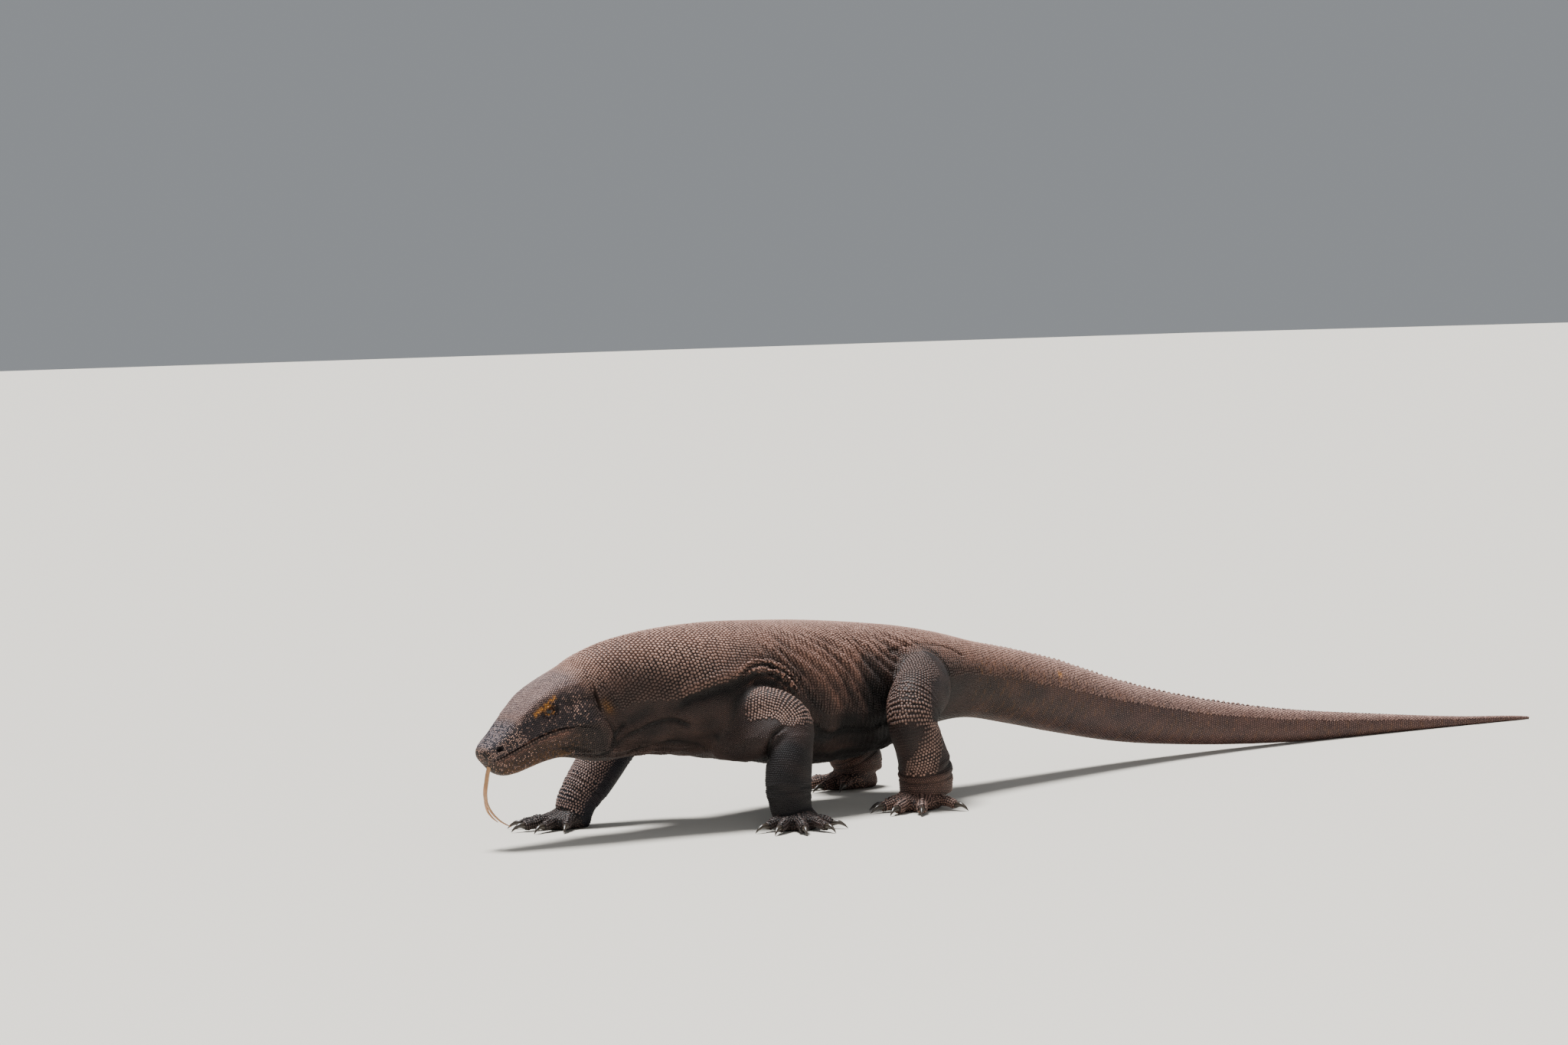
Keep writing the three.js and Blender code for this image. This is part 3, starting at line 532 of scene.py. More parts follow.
def body_folds(s, t):
    """Millimetres that the skin rises, or sinks where negative."""
    t = fold_half(t)
    where = section_at(s)
    wander = np.sin(s / 31 + t * 0.9) + 0.6 * np.sin(s / 17 - t * 1.7)
    # The flank: slanting wrinkles 19 mm apart, fine upright ones of 11, broad slack ones of 62.
    flank = step(where, 14.8, 15.8) * (1 - step(where, 19.4, 20.6)) * step(t, 1.0, 2.6)
    arc = t * ROW_ON_FLANK
    rise = flank * (1 - step(t, 4.6, 5.6)) * 1.7 * np.sin(
        2 * np.pi * (0.58 * s - 0.81 * arc) / 19 + 0.9 * wander)
    rise += flank * 0.5 * np.sin(2 * np.pi * s / 11 + wander * 1.6)
    rise += flank * 1.6 * np.sin(2 * np.pi * (0.8 * s - 0.3 * arc) / 62 + wander)
    # Lengthwise folds where flank turns to belly, then the loose throat and neck.
    low_flank = flank * step(t, 5.2, 6.2)
    rise += low_flank * 0.9 * np.sin(2 * np.pi * (arc + 0.12 * s) / 21 + 0.7 * wander)
    throat = step(where, 8.2, 9.8) * (1 - step(where, 12.5, 14)) * bump(t, 8.4, 1.3)
    rise += throat * 1.3 * np.sin(2 * np.pi * (t * 1.3 + 0.05 * np.sin(s / 14)))
    neck = step(where, 10.2, 11.2) * (1 - step(where, 13.4, 14.6)) * bump(t, 6.2, 1.4)
    rise += neck * 1.1 * np.sin(2 * np.pi * (t * 0.9 + s / 150 + 0.2 * wander))
    rise += 0.7 * step(where, 10.6, 12) * (1 - step(where, 14.5, 16)) * np.sin(
        s / 8.5 + 2.2 * np.sin(t * 0.8)) * step(t, 3, 5)
    # The mouth line between two raised lips, and the low keel on the tail.
    mouth = step(s, 1.5, 6) * (1 - step(where, 7.75, 8.15))
    rise += mouth * (0.7 * bump(t, 5.70, 0.15) + 0.5 * bump(t, 6.32, 0.15)
                     - 2.4 * bump(t, 6.0, 0.08))
    rise += 1.2 * step(where, 22.5, 25) * (1 - step(where, 28, 30)) * bump(t, 0, 0.45)
    # The shawl's edge is a thick rim with a groove under it.
    edge = np.interp(where, MANTLE[:, 0], MANTLE[:, 1])
    mantle = step(where, 12.85, 13.15) * (1 - step(where, 15.0, 15.7))
    rise += mantle * (2.8 * bump(t, edge - 0.2, 0.25) - 6.5 * bump(t, edge + 0.17, 0.2))
    for reach, depth, path in CREASES:
        rise -= depth * bump(near_line(where, s, t, path), 0, reach)
    return rise


at_mouth = body_folds(np.array([station(4.0)]), np.array([6.0]))[0]
print("the mouth line lies", round(-float(at_mouth), 1), "mm deep")

# %% [markdown]
# The skin round the root of the arm lies in curved pleats, because the arm swings there.
# They are arcs about the shoulder joint, so they are worked out from the joint's place.

# %% Pleats above the arm
# Millimetres from one pleat to the next, and the joints on the two sides.
PLEAT_GAP = 13.0
ARM_ROOT = {-1: np.array([20.0, -118, 176]), 1: np.array([-50.0, 98, 176])}


def pleats(p):
    """How far each point rises or sinks, and how much it lies on the crest of a pleat."""
    rise, crest = np.zeros(len(p)), np.zeros(len(p))
    for side, root in ARM_ROOT.items():
        d = p - root
        r = np.hypot(d[:, 0], d[:, 2])
        bearing = np.degrees(np.arctan2(d[:, 0], d[:, 2]))
        window = step(r, 44, 52) * (1 - step(r, 78, 92)) * step(bearing, -50, -25)
        window *= (1 - step(bearing, 50, 85)) * (np.sign(p[:, 1]) == side)
        wave = np.sin(2 * np.pi * r / PLEAT_GAP + 0.9 * np.sin(bearing / 22))
        rise += window * 3.4 * (wave - 0.5)
        crest += window * (0.5 + 0.5 * wave) ** 2
    return rise, crest


print("pleats", PLEAT_GAP, "mm apart about", ARM_ROOT[-1].tolist())

# %% [markdown]
# The lids follow the almond that two arcs enclose, with a groove round them, and between
# them the skin drops behind the ball. Nostril and ear slit are ellipses pressed into the
# side of the head, each with a soft raised rim.

# %% Lids, nostrils and ears, as a change of the head's sideways reach
def head_coordinates(p):
    d = p - HEAD_AT
    return d @ FORWARD, d @ SIDE, d @ UP


# Half the opening's length, and its height above and below the middle.
LID_LENGTH, LID_TOP, LID_BOTTOM = 8.8, 5.6, 4.6
# Forward place, height, half length and half height of the nostril and of the ear slit.
NOSTRIL_U, NOSTRIL_UP, NOSTRIL_LONG, NOSTRIL_TALL = 187, 38.0, 4.8, 3.6
EAR_U, EAR_UP, EAR_LONG, EAR_TALL, EAR_LEAN = 14, 22, 3.0, 18.5, 0.31
# How much thicker than the ball the lids lie, and how far the skin drops between them.
LID_THICK, BEHIND_BALL = 1.7, 2.6


def in_nostril(u, h):
    """Distance from the nostril's middle; one at its rim."""
    return np.hypot((u - NOSTRIL_U) / NOSTRIL_LONG, (h - NOSTRIL_UP) / NOSTRIL_TALL)


def in_ear(u, h):
    """Distance from the ear slit's middle line; one at its rim."""
    return np.hypot((u - EAR_U + (h - EAR_UP) * EAR_LEAN) / EAR_LONG, (h - EAR_UP) / EAR_TALL)


def lid_gap(a, b):
    """Distance outside the almond opening (negative inside)."""
    r1 = (LID_LENGTH**2 + LID_TOP**2) / (2 * LID_TOP)
    r2 = (LID_LENGTH**2 + LID_BOTTOM**2) / (2 * LID_BOTTOM)
    return np.maximum(np.hypot(a, b + r1 - LID_TOP) - r1,
                      np.hypot(a, b - r2 + LID_BOTTOM) - r2)


def eye_coordinates(u, h):
    tilt = math.radians(8)
    a, b = u - EYE_U, h - EYE_UP
    return a * math.cos(tilt) + b * math.sin(tilt), b * math.cos(tilt) - a * math.sin(tilt)


def shape_head(p):
    """The head's points, moved sideways to form lids, nostrils and ear slits."""
    u, v, h = head_coordinates(p)
    reach = np.abs(v)
    a, b = eye_coordinates(u, h)
    r2 = a * a + b * b
    near = (r2 < 22**2) & (reach > 15)
    gap = lid_gap(a, b)
    ball = EYE_SIDE + np.sqrt(np.maximum(EYE_RADIUS**2 - r2, 4))
    lid = EYE_SIDE + np.sqrt(np.maximum((EYE_RADIUS + LID_THICK) ** 2 - r2, 9))
    skin = reach + (lid - reach) * (1 - step(gap, 1.5, 8.5))
    skin -= 0.7 * bump(gap, 4.6, 0.9) - 0.5 * bump(gap, 7.0, 1.4)
    inside = ball - BEHIND_BALL
    shaped = inside + (skin - inside) * step(gap, -0.55, 0.35)
    reach = np.where(near, shaped, reach)
    hole = in_nostril(u, h)
    by_nose = (hole < 3) & (np.abs(v) > 8)
    pit = 0.6 * bump(hole, 1.35, 0.3) - 6.5 * (1 - step(hole, 0.55, 1.05))
    reach = reach + np.where(by_nose, pit, 0)
    slit = in_ear(u, h)
    by_ear = (slit < 3) & (np.abs(v) > 30)
    pit = 1.3 * bump(slit, 1.7, 0.5) - 7 * (1 - step(slit, 0.5, 1.1))
    reach = reach + np.where(by_ear, pit, 0)
    moved = reach - np.abs(v)
    return p + (np.sign(v) * moved)[:, None] * SIDE


print("the lids open", 2 * LID_LENGTH, "mm long and", round(LID_TOP + LID_BOTTOM, 1), "mm high")

# %% [markdown]
# Lids and lips need points 2 mm apart, the trunk 4 mm, the smooth tail 10 mm. The columns
# crowd at mouth line and brow, where the form turns sharply. The skin lies a little below
# the measured form, because the beads on top have a thickness of their own.

# %% The body tube, fine at the head and wider spaced towards the tail
BEAD_ROOM = 0.9
HALF_COLUMNS = 60
half_rows = np.linspace(0, 10, 2001)
crowd = 1 + 2.0 * bump(half_rows, 6, 0.3) + 0.5 * bump(half_rows, 3.4, 1.3)
share = np.concatenate([[0], np.cumsum((crowd[1:] + crowd[:-1]) / 2)])
half_rows = np.interp(np.linspace(0, share[-1], HALF_COLUMNS), share, half_rows)
rows = np.concatenate([half_rows, 20 - half_rows[-2:0:-1]])
head_end = station(11.2)
spaces = np.concatenate([
    np.linspace(0, 1, 12) ** 1.5 * 12, np.arange(13.6, head_end, 2.0),
    np.arange(head_end, station(21.5), 3.8), np.arange(station(21.5), STATIONS[-1] - 6, 9.5),
    [STATIONS[-1] - 2, STATIONS[-1]]])
s_grid, t_grid = [g.ravel() for g in np.meshgrid(spaces, rows, indexing="ij")]
points, normals, _ = body_frame(s_grid, t_grid)
points = points + normals * (body_folds(s_grid, t_grid) + pleats(points)[0] - BEAD_ROOM)[:, None]
points = np.where((s_grid < head_end)[:, None], shape_head(points), points)
body = closed_grid("skin", to_model(points).reshape(len(spaces), len(rows), 3))
print("body tube", len(body.data.polygons), "faces")

# %% [markdown]
# Even 2 mm is too coarse for a lid's edge. Splitting only the faces near the eyes and
# nostrils keeps the rest of the skin light.

# %% Finer faces where the lids and nostrils are
work = bmesh.new()
work.from_mesh(body.data)


def refine(work, centres, radius):
    """Split the faces within a radius, in millimetres, of each centre."""
    for centre in centres:
        centre = Vector(to_model(centre))
        edges = [e for e in work.edges
                 if (e.verts[0].co - centre).length < radius / 1000
                 and (e.verts[1].co - centre).length < radius / 1000]
        bmesh.ops.subdivide_edges(work, edges=edges, cuts=2, use_grid_fill=True)


SNOUT_SIDE = 25
refine(work, [head_point(EYE_U, s * EYE_SIDE * 1.2, EYE_UP) for s in (1, -1)], 15)
refine(work, [head_point(NOSTRIL_U, s * SNOUT_SIDE, NOSTRIL_UP) for s in (1, -1)], 7.5)
work.to_mesh(body.data)
work.free()
print("with fine lids", len(body.data.polygons), "faces")


# %% [markdown]
# Above wrist and ankle the loose skin lies in two uneven rings, thick on the hind legs,
# which carry more, and thin on the arms.

# %% Rings of loose skin on a leg
HIND_FROM = 200  # a leg that starts further back than this is a hind leg
RING_HEIGHT = {"hind": 0.7, "fore": 0.22}


def limb_folds(line, along, angle):
    """Rings of loose skin at the wrist or ankle, and at the bend of the joint."""
    knots = knots_of(line)
    end = knots[-1] - along + 2.5 * np.sin(angle + 0.6) + 1.5 * np.sin(2 * angle)
    thick = RING_HEIGHT["hind" if line[0][0] > HIND_FROM else "fore"]
    rings = 0.85 * thick * (2.2 * bump(end, 50, 3.8) - 3.2 * bump(end, 43, 2.4)
                            + 3.0 * bump(end, 35.5, 5.0) - 3.0 * bump(end, 27, 2.6))
    soft = 0.35 * bump(end, 40, 16) * np.sin(2 * np.pi * along / 7.5 + np.sin(angle * 2))
    bend = bump(along, knots[3], 16) * 0.6 * np.sin(2 * np.pi * along / 9 + np.sin(angle))
    return rings + soft + bend


# %% [markdown]
# A toe swells at its knuckle and thins to the claw; seven stops say that for all twenty.
# Palm and sole are low rounded cushions, wide at the toes and narrow at the heel.

# %% Grids for legs, toes and pads
def tube_grid(line, outward, steps, around, folds=None, inset=0.8):
    """Rings of points on a tube, sunk a little to leave room for the scales."""
    knots = knots_of(line)
    along, angle = np.meshgrid(np.linspace(0, knots[-1], steps),
                               np.arange(around) / around * 2 * np.pi, indexing="ij")
    along, angle = along.ravel(), angle.ravel()
    p, n, _ = tube_frame(line, outward, along, angle)
    lift = folds(line, along, angle) if folds else np.zeros(len(p))
    return (p + n * (lift - inset)[:, None]).reshape(steps, around, 3)


def toe_line(limb, bearing, reach, thick):
    """The table of one toe, the place it starts from and the way it points."""
    mirror = -1 if limb["outward"][1] < 0 else 1
    angle = math.radians(180 + limb["turn"] + bearing * mirror)
    ray = np.array([math.cos(angle), math.sin(angle)])
    root, length = np.array(limb["at"]), limb["length"]
    knuckle = length * 0.55 + (reach - length * 0.55) * 0.55
    # Distance out, height and radius: at root and ball, round the knuckle, at the tip.
    stops = [(length * 0.25, 16, thick * 1.1), (length * 0.62, 16.5, thick * 1.05),
             (knuckle - 9, 13.6, thick * 0.92), (knuckle, 14.5, thick * 1.05),
             (knuckle + 8, 12, thick * 0.88), (reach - 5, 10.4, thick * 0.9),
             (reach + 1.5, 9, thick * 0.68)]
    return [[*(root + ray * d), z, r, r] for d, z, r in stops], root, ray


def pad_grid(limb, around=28):
    """Rings of points on the cushion under a hand or foot."""
    angle = math.radians(180 + limb["turn"])
    ray = np.array([math.cos(angle), math.sin(angle), 0])
    side = np.array([-ray[1], ray[0], 0])
    # Share of the pad's length, share of its width, height of the middle, half thickness.
    table = np.array([[-0.62, 0.5, 12, 12], [-0.45, 0.72, 14, 18], [-0.1, 0.9, 16, 24],
                      [0.35, 1, 14, 20], [0.72, 0.94, 12, 15], [0.95, 0.66, 10, 10]])
    stops = smooth(table, np.arange(6), np.linspace(0, 5, 22))
    a = np.arange(around) / around * 2 * np.pi
    rings = []
    for d, w, z, tall in stops:
        rings.append(np.array([*limb["at"], z]) + ray * d * limb["length"]
                     + side * (w * limb["width"] * np.cos(a))[:, None]
                     + np.array([0, 0, 1]) * (tall * np.sin(a))[:, None])
    return np.array(rings)


print("toe stops", len(toe_line(LIMBS["left_arm"], *TOES["hand"][2])[0]))

# %% [markdown]
# The pieces are gathered in one collection, which is what the union takes. They stick
# through one another, and that is wanted: only closed pieces that overlap join cleanly.

# %% Make every piece of the legs
pieces_of_leg = bpy.data.collections.new("leg pieces")
bpy.context.scene.collection.children.link(pieces_of_leg)
limb_meshes = {}
for name, limb in LIMBS.items():
    made = [closed_grid(name, to_model(tube_grid(limb["line"], limb["outward"], 132, 40,
                                                 limb_folds)))]
    limb_meshes[name] = made[0]
    made.append(closed_grid(name + "_pad", to_model(pad_grid(limb))))
    for i, (bearing, reach, thick) in enumerate(TOES[limb["toes"]]):
        line, _, _ = toe_line(limb, bearing, reach, thick)
        made.append(closed_grid(f"{name}_toe_{i + 1}", to_model(
            tube_grid(line, TOE_FACING, 26, 16, inset=0.4))))
    if name == "left_arm":
        made.append(closed_grid("elbow_fill", to_model(
            tube_grid(ELBOW_FILL, BAG_FACING, 40, 32, inset=BEAD_ROOM))))
        made.append(closed_grid("elbow_fold", to_model(
            tube_grid(ELBOW_FOLD, BAG_FACING, 50, 40, inset=BEAD_ROOM))))
        bvh_fold = BVHTree.FromObject(made[-1], bpy.context.evaluated_depsgraph_get())
    for piece in made:
        bpy.context.scene.collection.objects.unlink(piece)
        pieces_of_leg.objects.link(piece)

# %% [markdown]
# ## One skin
# A real hide has no seams, so body and leg pieces are joined by a union. Their surfaces
# are remembered first, because the next step asks how far each point lies from them.

# %% Join the legs to the body
bvh_body = BVHTree.FromObject(body, bpy.context.evaluated_depsgraph_get())
bvh_limbs = {name: BVHTree.FromObject(ob, bpy.context.evaluated_depsgraph_get())
             for name, ob in limb_meshes.items()}
union = body.modifiers.new("union", "BOOLEAN")
union.operation, union.operand_type, union.solver = "UNION", "COLLECTION", "MANIFOLD"
union.collection = pieces_of_leg
joined = finished_mesh(body)
for piece in list(pieces_of_leg.objects) + [body]:
    bpy.data.objects.remove(piece)
bpy.data.collections.remove(pieces_of_leg)
skin = bpy.data.objects.new("skin", joined)
link(skin)
print("joined skin", len(joined.polygons), "faces")

# %% [markdown]
# The union leaves a hard crease where living skin is stretched across. Only points near
# both surfaces are moved towards their neighbours, which leaves the folds elsewhere alone.

# %% Relax the creases where legs and toes join
work = bmesh.new()
work.from_mesh(joined)
bmesh.ops.remove_doubles(work, verts=work.verts, dist=0.00015)
bmesh.ops.triangulate(work, faces=work.faces)
work.to_mesh(joined)
work.free()
count = len(joined.vertices)
place = numbers(joined.vertices, "co", 3).astype(float)
edges = numbers(joined.edges, "vertices", 2, np.int32)
ends = np.concatenate([edges[:, 0], edges[:, 1]])
others = np.concatenate([edges[:, 1], edges[:, 0]])
degree = np.bincount(ends, minlength=count)

# How far, in metres, the softening reaches at each leg, and at the bag of the elbow.
SOFT_REACH = {"left_arm": 0.008, "right_arm": 0.010, "left_leg": 0.005, "right_leg": 0.006}
BAG_ON_BODY, BAG_HIGH, BAG_LOW = 0.016, 0.02, 0.003
# Heights in the model: the bag blends into the arm above the first and ends at the second.
BAG_CHANGE, BAG_TOP = 0.146, 0.152
RELAX_ROUNDS, RELAX_STEP = 24, 0.6
loose = np.zeros(count)
for name, limb in LIMBS.items():
    root = to_model(np.array(limb["line"])[1, :3])
    near = np.nonzero(np.linalg.norm(place - root, axis=1) < 0.15)[0]
    for i in near:
        p = Vector(place[i])
        apart = max(bvh_body.find_nearest(p)[3], bvh_limbs[name].find_nearest(p)[3])
        loose[i] = max(loose[i], math.exp(-(apart / SOFT_REACH[name]) ** 2))
        if name == "left_arm":
            on_body = max(bvh_body.find_nearest(p)[3], bvh_fold.find_nearest(p)[3])
            on_arm = max(bvh_limbs[name].find_nearest(p)[3], bvh_fold.find_nearest(p)[3])
            bag_reach = BAG_HIGH if p.z > BAG_CHANGE else BAG_LOW
            loose[i] = max(loose[i], math.exp(-(on_body / BAG_ON_BODY) ** 2),
                           math.exp(-(on_arm / bag_reach) ** 2))
    ankle = to_model(np.array([*limb["at"], 20.0]))
    foot = (np.linalg.norm(place - ankle, axis=1) < 0.075) & (place[:, 2] < 0.045)
    loose[foot] = np.maximum(loose[foot], 0.2)
for _ in range(RELAX_ROUNDS):
    mean = np.stack([np.bincount(ends, place[others, k], count) for k in range(3)], 1)
    mean /= degree[:, None]
    place += (mean - place) * (RELAX_STEP * loose)[:, None]
place[:, 2] = np.maximum(place[:, 2], 0.0001)
joined.vertices.foreach_set("co", place.astype(np.float32).ravel())
joined.update()
shade_smooth(joined)
print("skin", len(joined.polygons), "triangles")

# %% [markdown]
# Where the forearm leaves the loose skin above it there is one sharp crease. It is pressed
# into the finished skin along a short line, given by how far across and how high it lies
# when the arm is looked at square on from outside.

# %% Press in the elbow's crease
# Millimetres across and up, from the forearm's front to the point of the elbow.
ELBOW_CREASE = [[76, 106], [79, 116], [83, 132], [89, 146], [101, 155], [115, 159.5]]
ELBOW_FACING = math.radians(-39)
CREASE_WIDTH, CREASE_DEPTH = 3.4, 0.0070


def elbow_crease(p):
    """How deep each point (in the body's own frame) lies in the crease, 0 to 1."""
    line = smooth(np.array(ELBOW_CREASE, float), np.arange(6), np.linspace(0, 5, 80))
    sideways = p[:, 0] * math.cos(ELBOW_FACING) + p[:, 1] * math.sin(ELBOW_FACING)
    inward = p[:, 1] * math.cos(ELBOW_FACING) - p[:, 0] * math.sin(ELBOW_FACING)
    deep = np.zeros(len(p))
    near = np.nonzero((np.abs(sideways - 96) < 40) & (np.abs(p[:, 2] - 135) < 45)
                      & (inward < -112))[0]
    apart = np.hypot(sideways[near, None] - line[:, 0], p[near, 2, None] - line[:, 1])
    share = apart.argmin(1) / (len(line) - 1)
    deep[near] = bump(apart.min(1), 0, CREASE_WIDTH) * (1 - step(share, 0.62, 1.0))
    return deep


outward = numbers(joined.vertices, "normal", 3)
pressed = elbow_crease(to_body(place))
place -= outward * (CREASE_DEPTH * pressed)[:, None]
joined.vertices.foreach_set("co", place.astype(np.float32).ravel())
joined.update()
print("crease presses", int((pressed > 0.3).sum()), "points")

# %% [markdown]
# ## Scales
# Monitor scales are domed beads that don't overlap, each ringed by dark skin. On the neck
# and the upper legs they are the size of a lentil; on the flank they are finer and stand
# in upright rows, on the tail in rings, and on the snout they are tiny plates. A texture
# would look flat in raking light, so every scale is a mesh. Its place is worked out row by
# row on the same tube that made the body, and then dropped onto the skin.

# %% Sizes and shades along the body, by section
skin_tree = BVHTree.FromPolygons([tuple(p) for p in place],
                                 [tuple(p.vertices) for p in joined.polygons])
# Millimetres from scale to scale on the back, along the body and round it.
SECTION_KNOTS = [0, 4, 8, 9.6, 10.6, 12, 14, 15.2, 17, 20, 21.5, 24, 27, 30, 32]
COARSE_ALONG = [2.6, 3.1, 3.6, 4.2, 5.4, 6.4, 6.6, 6.2, 6.0, 6.0, 6.2, 6.2, 5.6, 4.6, 3.4]
COARSE_AROUND = [2.6, 3.0, 3.5, 4.0, 4.8, 5.6, 5.8, 4.6, 3.9, 4.0, 4.6, 4.6, 4.2, 3.4, 2.6]
# How pale the back's scales and how dark the side's are, by section; part of each is the
# hide's own tone and part painted light from above.
BACK_PALE = [[0, 0.4], [9, 0.5], [10.5, 0.8], [12, 0.92], [14.5, 0.92], [16, 0.82], [20, 0.76],
             [22, 0.95], [25, 0.95], [32, 1.0]]
SIDE_DARK = [[0, 0.3], [9, 0.62], [11, 0.64], [14.8, 0.74], [16, 0.92], [20, 1], [21.5, 0.58],
             [24, 0.4], [27, 0.12], [32, 0.1]]
# The regions that the scales are made in.
REGION = {"head": 0, "neck": 1, "shoulder": 2, "flank": 3, "tail_base": 4, "tail": 5,
          "leg": 6, "toe": 7, "crest": 8, "lip": 9}
print("back scales", min(COARSE_ALONG), "to", max(COARSE_ALONG), "mm apart")


def along_table(where, table):
    table = np.array(table, float)
    return np.interp(where, table[:, 0], table[:, 1])


def body_marks(where, t):
    """How coarse, pale and dark the hide is on the body tube."""
    t = fold_half(t)
    over = along_table(where, MANTLE) - t
    above = (over > 0) * 1.0
    coarse = np.maximum(above, 1 - step(where, 9.6, 9.9))
    fade = np.interp(where, [10, 12.6, 13.4, 14.6, 16.2, 20, 32],
                     [3.6, 3.2, 2.4, 2.6, 4.6, 4.0, 3.0])
    edge = bump(where, 13.7, 1.0) * 0.24
    late = 0.9 * bump(where, 11.2, 1.6) + 0.55 * bump(where, 17.3, 1.5)
    # The pale back fades slowly down the side: partly the hide's own shawl, partly painted top light.
    pale = above * along_table(where, BACK_PALE) * (
        edge + (1 - edge) * step(over, late, fade + late))
    # Painted shadow in the hollow in front of the thigh: pale tips dimmed, the side darker.
    groin = bump(where, 18.3, 0.6) * step(t, 2.5, 3.4)
    pale = pale * (1 - 0.85 * groin)
    # Darker down the side: partly the hide's own darker underside, partly painted shade below the top
    # light.
    dark_from = np.interp(where, [10, 12.5, 14, 15.5], [-3.6, -4.0, -3.2, -2.8])
    dark_to = np.interp(where, [10, 13, 15], [-0.4, -0.4, 1.2])
    dark = np.clip((-over - dark_from) / (dark_to - dark_from), 0, 1)
    dark = along_table(where, SIDE_DARK) * dark * dark * (3 - 2 * dark) + 0.6 * groin
    return coarse, pale, dark


# %% [markdown]
# The rows are laid from snout to tail, coarse scales above the shawl's edge first. Every
# second row is shifted by half a scale, as bricks are, and chance moves each scale a
# little, least on the tail, where the rings are regular.

# %% Rows of spots on the body tube
def pitch_body(where, t, coarse):
    """Spacing along and around, in millimetres."""
    half = fold_half(t)
    along = np.interp(where, SECTION_KNOTS, COARSE_ALONG)
    around = np.interp(where, SECTION_KNOTS, COARSE_AROUND)
    belly = step(half, 7.2, 8.6) * step(where, 10, 12)
    ringed = step(where, 20.8, 22.5)
    fine_along, fine_around = 3.3 + 1.6 * belly + 1.5 * ringed * (1 - belly), 3.3 + 1.4 * belly
    small = np.minimum(along, fine_along), np.minimum(around, fine_around)
    return np.where(coarse, along, small[0]), np.where(coarse, around, small[1])


def lay_body_rows(coarse):
    """Row after row of places (s, t), the coarse ones or the fine ones."""
    s, row = 2.5, 0
    while s < STATIONS[-1] - 3:
        where = section_at(s)
        t = np.linspace(0, 20, 401)
        ring = body_point(np.full(401, s), t)
        run = np.concatenate([[0], np.cumsum(np.linalg.norm(np.diff(ring, axis=0), axis=1))])
        along, around = pitch_body(np.full(401, where), t, coarse)
        count = np.concatenate([[0], np.cumsum(np.diff(run) / ((around[1:] + around[:-1]) / 2))])
        n = max(6, int(round(count[-1] / 2)) * 2)
        at = np.interp((np.arange(n) + (row % 2) * 0.5) * count[-1] / n, count, t)
        gap = float(along[0] if coarse else along[100])
        at = (at + chance.uniform(-0.1, 0.1, n) * (count[-1] / n) * 20 / run[-1]) % 20
        flank = step(where, 14.5, 16) * (1 - step(where, 20.5, 22))
        wave = flank * (7 * np.sin(fold_half(at) * 1.15 + s / 70)
                        + 3 * np.sin(fold_half(at) * 2.6 - s / 37))
        ringed = 0.0 if coarse else float(step(where, 20.8, 22.5))
        loose_by = 0.12 * gap * (1 - 0.75 * ringed)
        spots = np.clip(s + wave + chance.uniform(-1, 1, n) * loose_by, 0.5, STATIONS[-1] - 1)
        mark = body_marks(section_at(spots), at)[0]
        keep = (mark > 0.5) == coarse
        yield spots[keep], at[keep]
        s += gap * (0.80 + 0.12 * float(flank) * (1 - ringed) + 0.2 * ringed)
        row += 1


# %% [markdown]
# Each spot gets its place p, the ways out of the skin n and to the tail d, its sizes and
# shares for its colours. One in a sunk fold is marked for painted shade, and one on a ridge
# or a pleat's crest is made paler as a painted highlight.

# %% Place the body's spots on its folds
found = [np.stack(r) for coarse in (True, False) for r in lay_body_rows(coarse)]
s_all, t_all = np.concatenate(found, axis=1)
w_all = section_at(s_all)
coarse_all, pale_all, dark_all = body_marks(w_all, t_all)
along_all, around_all = pitch_body(w_all, t_all, coarse_all > 0.5)
gap_all = np.minimum(along_all, around_all)
in_rows = step(w_all, 14.8, 15.8) * (1 - step(w_all, 24, 27)) * (coarse_all > 0.5)
in_rings = step(w_all, 20.8, 22.5) * (coarse_all < 0.5)
along_all = along_all * (1 - 0.16 * in_rows - 0.12 * in_rings)
around_all = around_all * (1 + 0.2 * in_rows + 0.06 * in_rings)
p_all, n_all, d_all = body_frame(s_all, t_all)
pleat_all, pleat_crest = pleats(p_all)
rise_all = body_folds(s_all, t_all) + pleat_all
p_all = p_all + n_all * rise_all[:, None]
# Painted shade in the folds that sink.
hollow_all = np.clip(-rise_all / 3.6 - 0.12, 0, 1)
# Painted highlight: ridges and pleat crests are made less dark and paler.
dark_all = dark_all - 0.10 * np.clip(rise_all, 0, 3.5) - 0.4 * pleat_crest
pale_all = pale_all + 0.4 * pleat_crest * (t_all < 5.5)
p_all = np.where((s_all < head_end)[:, None], shape_head(p_all), p_all)
print(len(s_all), "spots on the body tube")


# %% [markdown]
# On a leg the coarse beads grow in patches, over the elbow or knee and down the shin.

